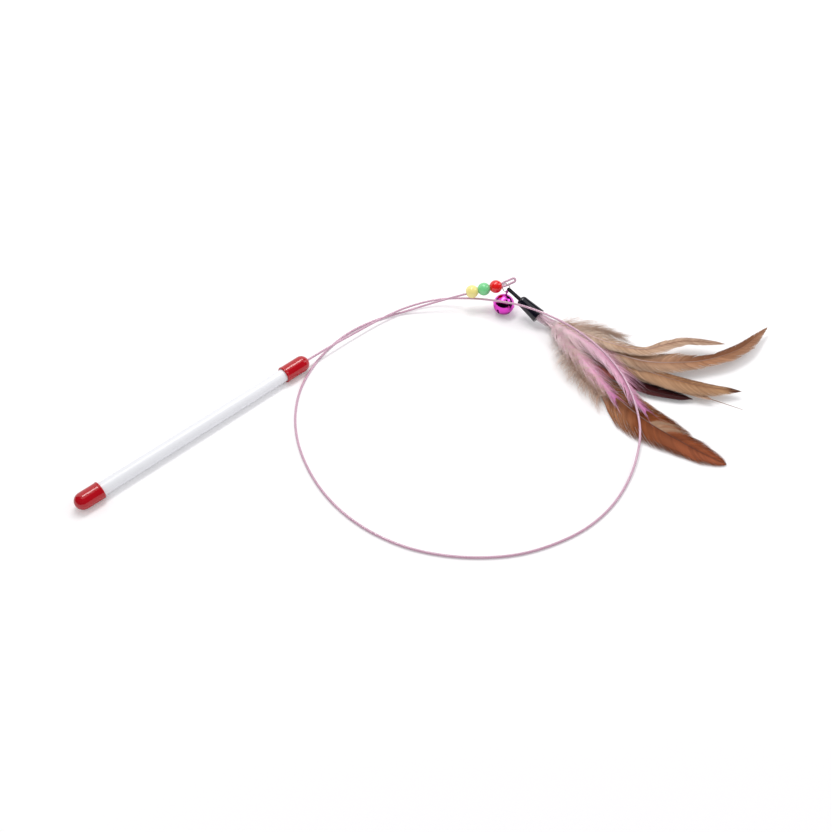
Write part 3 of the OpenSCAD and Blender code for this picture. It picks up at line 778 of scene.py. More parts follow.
def shaft_path(settings, seat, route, length):
    """A feather's shaft: out of the cone, through the sleeve and along its own curve over the table.

    A seat is a share of the bundle's radius and an angle. Route places are shares of the length along
    and across the fan, and of the stack's height. Returns the points and how many lie in the sleeve.
    """
    bundle = settings.sleeve_diameter / 2 - SLEEVE_WALL - QUILL_RADIUS - QUILL_ROOM
    share, about = seat
    seat = Vector((0, math.cos(math.radians(about)), math.sin(math.radians(about)))) * bundle * share
    start = [on_lure(Vector((x, seat.y, seat.z))) for x in (settings.reach - QUILL_SEAT, settings.reach)]
    bent = turned(turned(turned(seat, "X", -SLEEVE_SIDE), "Z", SLEEVE_BEND), "X", SLEEVE_SIDE)
    end = sleeve_line(settings)[-1]
    fan = on_lure(end)
    places = [on_lure(end + bent)]
    for x, y, z in route:
        flat = turned(Vector((x * length, y * length, 0)), "Z", FAN_HEADING)
        places.append(Vector((fan.x + flat.x, fan.y + flat.y, z * STACK)))
    return start + smooth_path(places, 14), len(start)


def feather_line(name, settings, feather):
    """The line of one feather with what the barbs read from it."""
    path, inner = shaft_path(settings, feather["seat"], feather["route"], feather["length"])
    runs = [0.0]
    for a, b in zip(path[inner:], path[inner + 1:]):
        runs.append(runs[-1] + (b - a).length)
    total = runs[-1]
    shares = [0.0] * inner + [run / total for run in runs]
    ups, columns = [], {key: [] for key in ("left", "right", "lean_left", "lean_right", "loose")}
    for i, (way, share) in enumerate(zip(headings(path), shares)):
        side = Vector((0, 0, 1)).cross(way).normalized()
        ups.append(Matrix.Rotation(math.radians(look_up(share, feather["twist"])), 3, way) @ way.cross(side))
        lean = look_up(share, feather["lean"])
        for label in ("left", "right"):
            # A leaning barb ends further along, where the outline may be narrower: halving finds its reach
            reach, most = 0.0, feather["width"]
            for _ in range(16):
                middle = (reach + most) / 2
                edge = look_up(min(1, share + lean * middle / total), feather[label]) * feather["width"] / 2
                reach, most = (middle, most) if middle < edge else (reach, middle)
            columns[label].append(reach if i >= inner else 0.0)
            columns["lean_" + label].append(lean)
        columns["loose"].append(look_up(share, feather["loose"]))
    return line_mesh(name, path, up=ups, share=shares, **columns)


class WAND_OT_stage(bpy.types.Operator):
    """Floor, studio light, dark cards for the reflections and the photograph's camera."""

    bl_idname = "wand.stage"
    bl_label = "Stage"

    def execute(self, context):
        scene, settings = context.scene, context.scene.wand_stage
        scene.view_settings.view_transform = "Standard"
        self.make_floor()
        self.make_world(scene, settings)
        self.make_lamps(settings)
        self.make_cards()
        self.make_camera(scene, settings)
        return {"FINISHED"}

    @staticmethod
    def make_floor():
        """A pale floor that the camera sees brighter than it lights, least so under the wand."""
        finish = Finish("floor")
        finish.feed(Base_Color=finish.mix(finish.noise(6, 2), (0.9, 0.895, 0.91), (0.91, 0.905, 0.92)),
                    Roughness=0.9, Specular_IOR_Level=0.1)
        near, far = mm(120), mm(850)
        away = finish.spot.math("LENGTH", out=1).smooth(near, far)
        dim, bright = (0.14, 0.14, 0.14), (0.46, 0.46, 0.46)
        light = finish.mix(away, dim, bright)
        glow = finish.add("ShaderNodeEmission", {}, {"Color": light, "Strength": 1.0})
        seen = finish.add("ShaderNodeLightPath", {}, {}, "Is Camera Ray")
        plain = finish.shader.outputs[0]
        lit = finish.add("ShaderNodeAddShader", {}, {0: plain, 1: glow})
        shown = finish.add("ShaderNodeMixShader", {}, {0: seen, 1: plain, 2: lit})
        finish.put(finish.tree.nodes["Material Output"].inputs["Surface"], shown)
        reach = 4.0
        corners = [(-reach, -reach, 0), (reach, -reach, 0), (reach, reach, 0), (-reach, reach, 0)]
        floor = mesh_piece("floor", corners, [(0, 1, 2, 3)], finish.material)
        floor.location.z = mm(-0.1)

    @staticmethod
    def make_world(scene, settings):
        """Soft light from all round, which camera, mirrors and clear plastic see as white."""
        scene.world = bpy.data.worlds.new("studio")
        scene.world.use_nodes = True
        graph = Graph(scene.world.node_tree)
        graph.tree.nodes.clear()
        camera, glossy, through = [graph.add("ShaderNodeLightPath", {}, {}, f"Is {ray} Ray")
                                   for ray in ("Camera", "Glossy", "Transmission")]
        seen = (camera + glossy + through).clamp()
        strength = seen * (1 - settings.world) + settings.world
        light = graph.add("ShaderNodeBackground", {}, {"Color": (1, 1, 1), "Strength": strength})
        graph.add("ShaderNodeOutputWorld", {}, {"Surface": light})

    @staticmethod
    def make_lamps(settings):
        """Two long lamps whose long sides run as the handle does, so that a streak runs along the caps."""
        # Where a lamp is and what it aims at, its length, width and power, and its colour
        lamps = (("key", mm(110, 235, 640), mm(0, 60, 0), mm(450), mm(190), settings.key, (1, 0.985, 0.97)),
                 ("fill", mm(560, -260, 480), mm(20, 0, 0), mm(500), mm(250), settings.key * 0.35,
                  (0.96, 0.97, 1)))
        for name, at, aim, length, width, power, colour in lamps:
            lamp = bpy.data.lights.new(name, "AREA")
            lamp.shape = "RECTANGLE"
            lamp.size = length
            lamp.size_y = width
            lamp.energy = power
            lamp.color = colour
            back = (at - aim).normalized()
            side = (Vector((1, 0, 0)) - back * back.x).normalized()
            holder = new_object(name, lamp)
            holder.location = at
            holder.rotation_euler = Matrix((side, back.cross(side), back)).transposed().to_euler()

    @staticmethod
    def make_cards():
        """Dark cards bent round the wand, which only mirrors see."""
        finish = Finish("dark_card")
        base = finish.mix(finish.noise(3, 1), (0.004, 0.003, 0.006), (0.012, 0.01, 0.014))
        material = finish.feed(Base_Color=base, Roughness=1.0, Specular_IOR_Level=0.0)
        # The heading of a card's middle, half its spread, its distance, and its lower and upper edge
        cards = (("front_card", -134.6, 105, 0.85, 0.0, 2.6), ("back_card", 5, 14, 0.8, 0.3, 0.95))
        half = 12
        row = 2 * half + 1
        for name, heading, spread, distance, low, high in cards:
            bend = arc((0, 0), distance, heading - spread, heading + spread, 2 * half)
            corners = [(x, y, z) for z in (low, high) for x, y in bend]
            faces = [(k, k + 1, k + 1 + row, k + row) for k in range(2 * half)]
            card = mesh_piece(name, corners, faces, material)
            for ray in ("camera", "diffuse", "shadow", "transmission"):
                setattr(card, "visible_" + ray, False)

    @staticmethod
    def make_camera(scene, settings):
        """The photograph's view, aimed at the middle of the loop and the handle."""
        target = mm(-16.5, 35.3, 0)
        flat = math.cos(settings.elevation)
        way = Vector((-math.sin(settings.azimuth) * flat, math.cos(settings.azimuth) * flat,
                      -math.sin(settings.elevation)))
        lens = bpy.data.cameras.new("camera")
        lens.lens = settings.focal
        lens.sensor_width = 36
        lens.clip_start = 0.01
        camera = new_object("camera", lens)
        camera.location = target - way * settings.distance
        camera.rotation_euler = way.to_track_quat("-Z", "Y").to_euler()
        scene.camera = camera


class WAND_OT_wire(bpy.types.Operator):
    """The coated wire in its loop, and its folded end through the beads."""

    bl_idname = "wand.wire"
    bl_label = "Wire"

    def execute(self, context):
        settings = context.scene.wand_wire
        bead_length = context.scene.wand_beads.length
        strand = settings.diameter / 2 + STRAND_FIT
        tree = strand_tree()
        values = {"Radius": settings.diameter / 2, "Lay": settings.lay, "Strands": float(settings.strands),
                  "Groove": GROOVE_DEPTH, "Step": LOOP_STEP, "Coat": coated_wire(settings)}
        start = on_row(Vector((STRAND_START * bead_length, 0, -strand)))
        path = smooth_path([mm(*p) for p in WIRE_ROUTE] + [start], 8)
        wire = grown("wire_loop", line_mesh("wire_path", path), tree, values)
        fixed(wire, "handle", "wire")
        fold = self.eye_path(settings, bead_length, strand)
        eye = grown("wire_fold", line_mesh("eye_path", fold), tree, {**values, "Step": EYE_STEP})
        fixed(eye, "handle", "wire_eye")
        return {"FINISHED"}

    @staticmethod
    def eye_path(settings, bead_length, strand):
        """Through the beads, out round the eye and back beside itself into the first bead."""
        half = (settings.diameter + settings.eye_slot) / 2
        begin = 2.5 * bead_length + 2 * BEAD_GAP

        def on_eye(along, side):
            return Vector((begin + along * math.cos(EYE_RISE) - side * math.sin(EYE_RISE), 0,
                           along * math.sin(EYE_RISE) + side * math.cos(EYE_RISE)))

        def leg(side):
            # How far the strands have parted at a share of the eye's length
            table = ((0.04, 0.1), (0.14, 0.75), (0.24, 1))
            return [on_eye(settings.eye_length * a, side * (strand + (half - strand) * o)) for a, o in table]

        centre = settings.eye_length - half
        bend = [on_eye(centre + x, y) for x, y in arc((0, 0), half, -90, 90, 12)]
        mouth = begin - BEAD_GAP
        out = [Vector((STRAND_START * bead_length, 0, -strand)), Vector((mouth, 0, -strand))]
        back = [Vector((mouth, 0, strand)), Vector((-bead_length / 8, 0, strand))]
        local = smooth_path(leg(-1), 3) + bend + smooth_path(leg(1)[::-1], 3)
        return [on_row(p) for p in out + local + back]


class WAND_OT_handle(bpy.types.Operator):
    """The white tube and its two dipped caps, with the bung and crimp inside."""

    bl_idname = "wand.handle"
    bl_label = "Handle"

    def execute(self, context):
        settings = context.scene.wand_handle
        tube_radius = settings.tube_diameter / 2
        cap_radius = tube_radius + CAP_FIT + settings.cap_wall
        self.make_tube(settings, tube_radius, cap_radius)
        vinyl = moulded_plastic("dipped_vinyl", settings.cap_colour, 0.06, mm(0.003), 0.6)
        for name, low, high, way, hole in (("butt", BUTT_LOW, BUTT_HIGH, -1, 0),
                                           ("front", FRONT_LOW, FRONT_HIGH, 1, CAP_HOLE)):
            place = placed(self.on_handle((low if way > 0 else high).x), (way, 0, 0))
            cap = self.dipped_cap("cap_" + name, settings, cap_radius, high.x - low.x, hole, vinyl, place)
            fixed(cap, "handle", name + "_cap")
        dress("anchor_plug", moulded_plastic("bung_plastic", (0.7, 0.66, 0.52), 0.5))
        dress("anchor_crimp", plated_metal("crimp_metal", (0.7, 0.7, 0.7), 0.3))
        return {"FINISHED"}

    @staticmethod
    def on_handle(x):
        """The point of the handle's middle line at x."""
        return Vector((x, HANDLE_LINE.y, HANDLE_LINE.z))

    def make_tube(self, settings, radius, cap_radius):
        """Extruded white plastic: long faint draw lines, a soft gloss and rounded ends."""
        finish = Finish("tube_plastic")
        lines = finish.noise(1500, 3, (0.02, 1, 1))
        base = finish.mix(finish.noise(45, 2), tint(settings.tube_colour, 0.97), settings.tube_colour)
        material = finish.feed(Base_Color=base, Roughness=0.3 + (lines - 0.5) * 0.12,
                               Normal=finish.bump(lines, mm(0.01), 0.3))
        butt = self.on_handle(BUTT_LOW.x + cap_radius)
        length = FRONT_HIGH.x - cap_radius - butt.x
        bore = radius - settings.tube_wall
        edge = mm(0.15)
        profile = ([(bore, edge)] + arc((bore + edge, edge), edge, 180, 270, 4)[1:]
                   + arc((radius - edge, edge), edge, 270, 360, 4)
                   + [(radius, length * k / 12) for k in range(1, 12)]
                   + arc((radius - edge, length - edge), edge, 0, 90, 4)
                   + arc((bore + edge, length - edge), edge, 90, 180, 4))
        tube = lathe("tube", profile, placed(butt, (1, 0, 0)), material)
        fixed(tube, "handle", "handle_tube")

    @staticmethod
    def dipped_cap(name, settings, radius, length, hole, material, place):
        """Open at 0 with a rolled rim, domed at the far end, soft and not quite even all round."""
        inner = radius - settings.cap_wall
        roll = settings.cap_wall / 2 + settings.cap_rim / 2
        rim = (radius + settings.cap_rim - roll, roll)
        neck = roll * 4
        shoulder = length - radius
        outside = arc(rim, roll, -90, 40, 8) + [(radius + mm(0.04), roll * 2.6), (radius, neck)]
        outside += [(radius, neck + (shoulder - neck) * k / 6) for k in range(1, 6)]
        if hole:
            tip = arc((0, shoulder), radius, 0, math.degrees(math.acos(hole / radius)), 20)
            under = arc((0, shoulder), inner, math.degrees(math.acos(hole / inner)), 0, 20)
        else:
            tip = arc((0, shoulder), radius, 0, 90, 20)[:-1] + [(0, length)]
            under = [(0, length - settings.cap_wall)] + arc((0, shoulder), inner, 90, 0, 20)[1:]
        inside = [(inner, shoulder * k / 6) for k in range(5, 0, -1)] + [(inner, mm(0.2))]
        profile = outside + tip + under + inside
        if not hole:
            start = len(outside) + len(tip)
            profile = profile[start:] + profile[:start]

        def wave(around, height):
            """Dipped vinyl is a touch thicker on one side."""
            return mm(0.03) * math.sin(around + 40 * height) * min(1, height / mm(3))

        return lathe(name, profile, place, material, wave=wave)


class WAND_OT_beads(bpy.types.Operator):
    """Three glossy beads with rounded holes."""

    bl_idname = "wand.beads"
    bl_label = "Beads"

    def execute(self, context):
        settings = context.scene.wand_beads
        radius = settings.diameter / 2
        half = settings.length / 2
        round_off = mm(0.35)
        ball = math.degrees(math.asin(half / radius))
        edge = (settings.hole + round_off, half - round_off)
        top = arc((0, 0), radius, 0, ball - 6, 20)
        profile = (top + arc(edge, round_off, 70, 180, 8) + [(settings.hole, 0)]
                   + [(r, -z) for r, z in arc(edge, round_off, 180, 70, 8)]
                   + [(r, -z) for r, z in top[:0:-1]])
        for colour in ("yellow", "green", "red"):
            name = "bead_" + colour
            material = moulded_plastic(name + "_plastic", getattr(settings, colour), 0.06, mm(0.006), 0.8)
            joint = JOINTS[name + "_spin"]
            bead = lathe("ball_" + colour, profile, placed(joint["pos_m"], joint["axis"]), material, 64)
            fixed(bead, name, name)
        return {"FINISHED"}


class WAND_OT_ring(bpy.types.Operator):
    """The jump ring with its fine split."""

    bl_idname = "wand.ring"
    bl_label = "Jump ring"

    def execute(self, context):
        settings = context.scene.wand_bell
        steel = plated_metal("ring_steel", (0.78, 0.78, 0.8), 0.12)
        place = placed(RING_AT, RING_WAY)
        gap = 2
        path = [place @ Vector((x, y, 0)) for x, y in arc((0, 0), settings.ring_radius, gap, 360 - gap, 72)]
        ring = sweep("split_ring", path, [settings.ring_wire / 2] * len(path), steel, 20)
        fixed(ring, "ring", "jump_ring")
        return {"FINISHED"}


class WAND_OT_bell(bpy.types.Operator):
    """The jingle bell: lacquer on its two pressed cups and its wire eye, and bare iron on its pellet."""

    bl_idname = "wand.bell"
    bl_label = "Bell"

    def execute(self, context):
        lacquer = plated_metal("bell_lacquer", context.scene.wand_bell.colour, 0.05)
        for node in ("bell_top", "bell_bottom", "bell_eyelet"):
            dress(node, lacquer)
        dress("bell_pellet", plated_metal("pellet_iron", (0.3, 0.3, 0.3), 0.45))
        return {"FINISHED"}


class WAND_OT_cone(bpy.types.Operator):
    """The strap, the cone cap and the clear sleeve round the quills."""

    bl_idname = "wand.cone"
    bl_label = "Strap, cone and sleeve"

    def execute(self, context):
        settings = context.scene.wand_lure
        self.make_cone(settings)
        self.make_strap(settings)
        self.make_sleeve(settings)
        dress("quill_glue", moulded_plastic("set_glue", (0.62, 0.5, 0.22), 0.3))
        return {"FINISHED"}

    @staticmethod
    def make_cone(settings):
        """Glossy cap: a round crown, straight sides that widen to the mouth, and a rounded lip."""
        gloss = moulded_plastic("cone_plastic", settings.cone_colour, 0.06, mm(0.01))
        reach, shoulder, mouth = settings.reach, settings.shoulder, settings.mouth
        start = reach - settings.cone_length
        crown = shoulder * 0.75
        wall, lip, taper, depth = mm(0.9), mm(0.18), mm(4), mm(9.5)
        slope = (mouth - shoulder) / (settings.cone_length - shoulder)
        outside = [(0, start), (shoulder - crown, start)]
        outside += arc((shoulder - crown, start + crown), crown, -90, -4, 14)[1:]
        outside += [(shoulder + slope * (z - shoulder), start + z)
                    for z in [crown + (settings.cone_length - crown) * k / 8 for k in range(1, 8)]]
        outside += arc((mouth - lip, reach - lip), lip, 0, 90, 4)
        inside = [(mouth - wall, reach), (mouth - wall - slope * taper, reach - taper),
                  (mouth - 2 * wall, reach - depth), (0, reach - depth)]
        cone = lathe("cone_cap", outside + inside, placed(LURE_HOOK, LURE_WAY, LURE_FACE), gloss)
        fixed(cone, "lure", "lure_cone")

    @staticmethod
    def make_sleeve(settings):
        """Clear pinkish sleeve, drawn thin: mostly see-through, with painted glints in pale streaks along it.
        """
        finish = Finish("sleeve_plastic")
        streaks = finish.noise(700, 3, (1, 0.12, 1))
        # The pale end of the streaks is a painted glint, the paler the more opaque; low streaks leave it
        # darker pink and nearly clear
        base = finish.mix(streaks, srgb((178, 122, 150)), srgb((248, 228, 240)))
        material = finish.feed(Base_Color=base, Roughness=0.14 + streaks * 0.1, Coat_Weight=0.5,
                               Alpha=(streaks - 0.35).clamp() * 1.1 + 0.16)
        line = [on_lure(p) for p in sleeve_line(settings)]
        ways = headings(line)
        outer = settings.sleeve_diameter / 2
        radii = [outer] * len(line) + [outer - SLEEVE_WALL] * len(line)
        sleeve = sweep("sleeve", line + line[::-1], radii, material, 48, True, ways + ways[::-1])
        fixed(sleeve, "lure", "quill_sleeve")

    @staticmethod
    def make_strap(settings):
        """A flat strap with a punched round eye, its edges softly rounded."""
        half = settings.strap_width / 2
        eye = half + mm(0.1)
        soft = mm(0.22)
        outline = bpy.data.curves.new("strap_outline", "CURVE")
        outline.dimensions = "2D"
        outline.fill_mode = "BOTH"
        outline.extrude = settings.strap_thickness / 2 - soft
        outline.bevel_depth = soft
        outline.bevel_resolution = 3
        outline.offset = -soft
        buried = mm(1.5)
        stop = settings.reach - settings.cone_length + buried
        turn = math.degrees(math.asin(half / eye))
        rim = arc((0, 0), eye, turn, 360 - turn, 40) + [(stop, -half), (stop, half)]
        for points in (rim, arc((0, 0), STRAP_HOLE, 0, 360, 32)[:-1]):
            spline = outline.splines.new("POLY")
            spline.points.add(len(points) - 1)
            for target, (x, y) in zip(spline.points, points):
                target.co = (x, y, 0, 1)
            spline.use_cyclic_u = True
        mesh = plain_mesh(new_object("strap", outline))
        axes = Matrix((LURE_WAY, LURE_SIDE, LURE_FACE)).transposed().to_4x4()
        mesh.transform(Matrix.Translation(LURE_HOOK) @ axes)
        mesh.materials.clear()
        mesh.materials.append(moulded_plastic("strap_rubber", settings.strap_colour, 0.55, mm(0.05), 0.1))
        strap = new_object("strap", mesh)
        face_out(strap)
        fixed(strap, "lure", "lure_strap")


# What the barb tree takes from a feather as it is, and what the materials read from the finished barbs
TREE_VALUES = ("count", "steps", "locks", "clump", "ragged", "camber", "lift", "curl", "roll", "taper",
               "tilt", "seed")
MESH_VALUES = {"share", "along", "tone", "lock", "streak", "flank", "position", "material_index",
               "sharp_face"}

# A feather's length and width are in metres, its shaft and the barbs' thickness in millimetres. Tables run
# along the shaft: left and right give the outline as shares of half the width, lean how far a barb runs
# ahead for its reach, loose how downy it is, and twist the vane's turn in degrees.
VANE = {"lean": [(0, 1.0), (0.3, 1.25), (0.8, 1.7), (1, 2.6)],
        "loose": [(0, 1), (0.16, 0.9), (0.34, 0.3), (0.5, 0), (1, 0)], "twist": [(0, 0), (1, 0)],
        "count": 620, "steps": 7, "thickness": 0.12, "broad": 2.2, "locks": 34.0, "clump": 0.04,
        "ragged": 0.04, "camber": -0.08, "lift": 0.05, "curl": 0.3, "roll": 0.6, "taper": 10.0, "tilt": 0.1,
        "shaft": 0.5}
HACKLE = {"lean": [(0, 1.8), (0.5, 2.6), (1, 3.2)], "loose": [(0, 0.25), (1, 0.05)],
          "count": 210, "steps": 12, "thickness": 0.14, "broad": 1.15, "clump": 0.9, "ragged": 0.5,
          "camber": 0.0, "lift": 0.5, "curl": 0.35, "taper": 4.0, "tilt": 0.2, "shaft": 0.35}
DOWN = {"loose": [(0, 0.7), (1, 0.7)],
        "count": 1500, "steps": 10, "thickness": 0.14, "broad": 2.8, "locks": 30.0, "clump": 1.0,
        "ragged": 0.6, "camber": 0.05, "lift": 0.8, "curl": 1.7, "roll": 5.5, "taper": 3.0, "tilt": 0.3,
        "shaft": 0.4}

TAN = {
    "tan_long": {
        "length": mm(141.6), "width": mm(15), "seat": (0.38, 75), "vane": "vane_tan_long",
        "route": [(0.132, -0.03, 0.72), (0.293, -0.042, 0.86), (0.466, -0.007, 0.84), (0.593, 0.075, 0.8),
                  (0.695, 0.175, 0.74), (0.785, 0.34, 0.64), (0.83, 0.563, 0.55)],
        "left": [(0.06, 0), (0.16, 0.6), (0.3, 1.15), (0.42, 1.3), (0.53, 1.25), (0.65, 0.84), (0.7, 0.6),
                 (0.73, 0.8), (0.81, 0.92), (0.9, 0.5), (1, 0.02)],
        "right": [(0.06, 0), (0.16, 0.5), (0.3, 1), (0.42, 1.2), (0.53, 1.05), (0.65, 0.78), (0.73, 0.9),
                  (0.81, 0.82), (0.9, 0.6), (1, 0.02)],
        "twist": [(0, 0), (0.5, 8), (0.75, -10), (1, 12)],
        "clump": 0.2, "ragged": 0.12, "lift": 0.12, "seed": 3},
    "tan_sickle": {
        "length": mm(110), "width": mm(8.5), "seat": (1, 40),
        "route": [(0.174, 0, 0.84), (0.379, 0, 1.02), (0.555, 0.055, 1.04), (0.65, 0.185, 1),
                  (0.732, 0.285, 0.93), (0.925, 0.405, 0.8)],
        "left": [(0.08, 0), (0.15, 1.4), (0.3, 1.9), (0.4, 1.7), (0.5, 1.1), (0.67, 1), (0.79, 0.9),
                 (0.89, 0.75), (0.96, 0.45), (1, 0.05)],
        "right": [(0.08, 0), (0.15, 1.1), (0.3, 1.7), (0.45, 1.6), (0.55, 1.5), (0.67, 1.5), (0.79, 1.1),
                  (0.89, 0.7), (0.96, 0.3), (1, 0.02)],
        "twist": [(0, 0), (0.5, -12), (1, 10)], "count": 520, "seed": 7},
    "tan_mid": {
        "length": mm(127.6), "width": mm(15), "seat": (0.45, -20), "vane": "vane_tan_mid",
        "route": [(0.169, -0.04, 0.58), (0.361, -0.055, 0.66), (0.6, -0.045, 0.65), (0.809, 0.01, 0.58),
                  (0.993, 0.098, 0.5)],
        "left": [(0.06, 0), (0.18, 0.4), (0.35, 0.7), (0.59, 0.7), (0.69, 0.65), (0.8, 0.6), (0.9, 0.42),
                 (0.955, 0.35), (1, 0.02)],
        "right": [(0.06, 0), (0.18, 0.4), (0.35, 0.9), (0.59, 1.15), (0.69, 1.2), (0.8, 1.2), (0.86, 1),
                  (0.9, 0.8), (0.955, 0.42), (1, 0.02)],
        "ragged": 0.03, "lift": 0.06, "seed": 11},
    "tan_split": {
        "length": mm(131.7), "width": mm(12), "seat": (1, -60),
        "route": [(0.162, -0.045, 0.44), (0.363, -0.062, 0.48), (0.608, -0.075, 0.48), (0.868, -0.03, 0.42),
                  (1.01, 0.0, 0.3)],
        "left": [(0.06, 0), (0.2, 0.5), (0.5, 0.8), (0.7, 0.8), (0.8, 0.65), (0.84, 0.4), (0.86, 0), (1, 0)],
        "right": [(0.06, 0), (0.2, 0.5), (0.4, 0.9), (0.545, 0.85), (0.605, 0.55), (0.7, 0.4), (0.79, 0.33),
                  (0.84, 0.25), (0.86, 0), (1, 0)],
        "seed": 13},
}

BROWN = {
    "rust": {
        "length": mm(150), "width": mm(26), "seat": (1, 245), "slot": "feather_rust",
        "vane": "vane_rust", "stem": "shaft_rust",
        "loose": [(0, 1), (0.3, 0.85), (0.45, 0.5), (0.56, 0.2), (0.66, 0), (1, 0)],
        "route": [(0.138, -0.075, 0.17), (0.326, -0.18, 0.12), (0.565, -0.268, 0.11), (0.779, -0.3, 0.11),
                  (0.95, -0.307, 0.1)],
        "left": [(0.1, 0), (0.2, 0.3), (0.35, 0.6), (0.5, 0.95), (0.6, 1.08), (0.72, 1.15), (0.79, 0.95),
                 (0.815, 0.82), (0.835, 0.62), (0.86, 0.7), (0.89, 0.71), (0.92, 0.57), (0.955, 0.46),
                 (0.985, 0.27), (1, 0)],
        "right": [(0.1, 0), (0.2, 0.2), (0.3, 0.3), (0.4, 0.5), (0.47, 0.68), (0.545, 1.05), (0.607, 1.34),
                  (0.667, 1.33), (0.75, 1.13), (0.833, 0.9), (0.88, 0.77), (0.928, 0.65), (0.958, 0.47),
                  (0.984, 0.27), (1, 0)],
        "count": 1100, "broad": 2.8, "ragged": 0.02, "clump": 0.0, "lift": 0.03, "curl": 0.2, "roll": 0.5,
        "seed": 19},
    "dark": {
        "length": mm(103.6), "width": mm(13), "seat": (0.36, 236), "slot": "feather_dark",
        "vane": "vane_dark", "stem": "shaft_dark",
        "route": [(0.204, -0.079, 0.33), (0.436, -0.15, 0.3), (0.746, -0.175, 0.3), (0.996, -0.091, 0.28)],
        "left": [(0.06, 0), (0.25, 0.9), (0.6, 1.4), (0.8, 1.5), (0.92, 1.1), (1, 0.1)],
        "right": [(0.06, 0), (0.25, 0.8), (0.5, 0.85), (0.7, 0.65), (0.85, 0.45), (0.95, 0.4), (1, 0.1)],
        "curl": 0.2, "roll": 0.5, "seed": 17},
}

PINK = {
    "pink_right": {
        "length": mm(92.7), "width": mm(15), "seat": (1, 90),
        "route": [(0.199, -0.055, 0.93), (0.428, -0.122, 0.99), (0.62, -0.215, 0.86), (0.788, -0.329, 0.58),
                  (0.918, -0.396, 0.46)],
        "left": [(0, 0.4), (0.1, 0.8), (0.4, 0.9), (0.6, 1.2), (0.9, 1.4), (1, 0.6)],
        "right": [(0, 0.4), (0.1, 1.1), (0.3, 1.45), (0.5, 1.3), (0.7, 1.1), (0.9, 0.9), (1, 0.5)],
        "seed": 23},
    "pink_left": {
        "length": mm(76), "width": mm(17), "seat": (1, 142),
        "route": [(0.211, -0.15, 0.74), (0.432, -0.27, 0.75), (0.648, -0.395, 0.71), (0.863, -0.52, 0.66)],
        "left": [(0, 0.5), (0.1, 1.2), (0.3, 1.4), (0.6, 1.2), (0.9, 1), (1, 0.6)],
        "right": [(0, 0.5), (0.1, 1.1), (0.5, 1.3), (0.9, 1.1), (1, 0.6)],
        "seed": 29},
}

PLUMES = {
    "left": {
        "length": mm(75), "width": mm(27), "seat": (1, 193), "vane": "down_beige",
        "lean": [(0, 0.5), (0.7, 0.9), (1, 1.6)],
        "route": [(0.191, -0.17, 0.44), (0.376, -0.345, 0.42), (0.57, -0.46, 0.4), (0.745, -0.54, 0.38)],
        "left": [(0, 0.5), (0.1, 0.9), (0.3, 1.15), (0.6, 1.3), (0.85, 1.2), (1, 0.6)],
        "right": [(0, 0.3), (0.1, 0.7), (0.3, 1), (0.6, 1.2), (0.85, 1.2), (1, 0.9)],
        "seed": 31},
    "top": {
        "length": mm(44), "width": mm(13), "seat": (1, -9), "vane": "down_tan",
        "lean": [(0, 2.2), (1, 3.4)],
        "route": [(0.313, 0.12, 0.6), (0.605, 0.25, 0.62), (0.96, 0.32, 0.62)],
        "left": [(0.02, 0.4), (0.2, 0.9), (0.6, 0.9), (0.85, 0.7), (1, 0.4)],
        "right": [(0.02, 0.4), (0.2, 1.3), (0.6, 1.9), (0.85, 1.6), (1, 0.8)],
        "count": 900, "broad": 1.4, "seed": 37},
}

# Colours as a screen gives them, from 0 to 255
PALE, FAWN, UMBER = (238, 218, 200), (214, 180, 152), (158, 104, 72)

# Each vane: its colours along the shaft, the ones beside the shaft and at the edge, how much these two show
# and how dark single barbs get. Then, where there is one, a darker flank and a patch of pale down: its
# colour, from where to where along the shaft, and how much it shows
VANES = {
    "vane_tan_long": ([(0.15, PALE), (0.35, FAWN), (0.62, (190, 138, 104)), (0.9, (180, 134, 106))],
                      UMBER, PALE, 0.5, 0.4, 0.7, ((118, 68, 40), 0.55, 0.92, 0.85)),
    "vane_tan_pale": ([(0.15, PALE), (0.4, FAWN), (0.9, (206, 172, 150))], UMBER, PALE, 0.3, 0.4, 0.55),
    "vane_tan_mid": ([(0.15, PALE), (0.4, (196, 156, 124)), (0.92, (192, 148, 110)), (0.955, (80, 42, 34))],
                     (150, 98, 62), PALE, 0.5, 0.15, 0.6, ((150, 100, 66), 0.45, 0.8, 0.6)),
    "vane_rust": ([(0.2, (240, 206, 184)), (0.44, (216, 154, 112)), (0.6, (156, 86, 44)),
                   (0.9, (176, 96, 62))],
                  (104, 48, 24), (168, 94, 56), 0.5, 0.3, 0.6, None, ((214, 180, 150), 0.63, 0.73, 0.8)),
    "vane_dark": ([(0.35, (222, 150, 136)), (0.52, (204, 122, 114)), (0.62, (84, 26, 30)),
                   (0.9, (62, 18, 20))], (40, 10, 12), (100, 44, 48), 0.4, 0.3, 0.5),
    # The pink's near-white edge colour is partly the barbs' paler ends and partly a painted highlight
    "vane_pink": ([(0.1, (253, 226, 234)), (0.45, (252, 212, 230)), (0.75, (246, 188, 220)),
                   (1, (196, 114, 172))], (242, 174, 208), (255, 242, 250), 0.2, 0.6, 0.2),
    "down_beige": ([(0.1, (246, 236, 234)), (0.5, (234, 212, 198)), (1, (224, 194, 174))],
                   (192, 150, 124), (252, 248, 246), 0.65, 0.8, 0.3),
    "down_tan": ([(0.1, (240, 214, 194)), (0.6, (234, 208, 188)), (1, (238, 218, 204))],
                 (206, 168, 138), (246, 234, 224), 0.5, 0.5, 0.45),
}

# Each shaft's colour at its quill and towards its tip
SHAFTS = {
    "shaft_tan": ((232, 205, 200), (140, 100, 75)),
    "shaft_rust": ((226, 196, 186), (84, 40, 24)),
    "shaft_dark": ((226, 190, 186), (60, 28, 28)),
    "shaft_pink": ((245, 205, 222), (225, 130, 185)),
    "shaft_down": ((240, 225, 220), (200, 175, 155)),
}


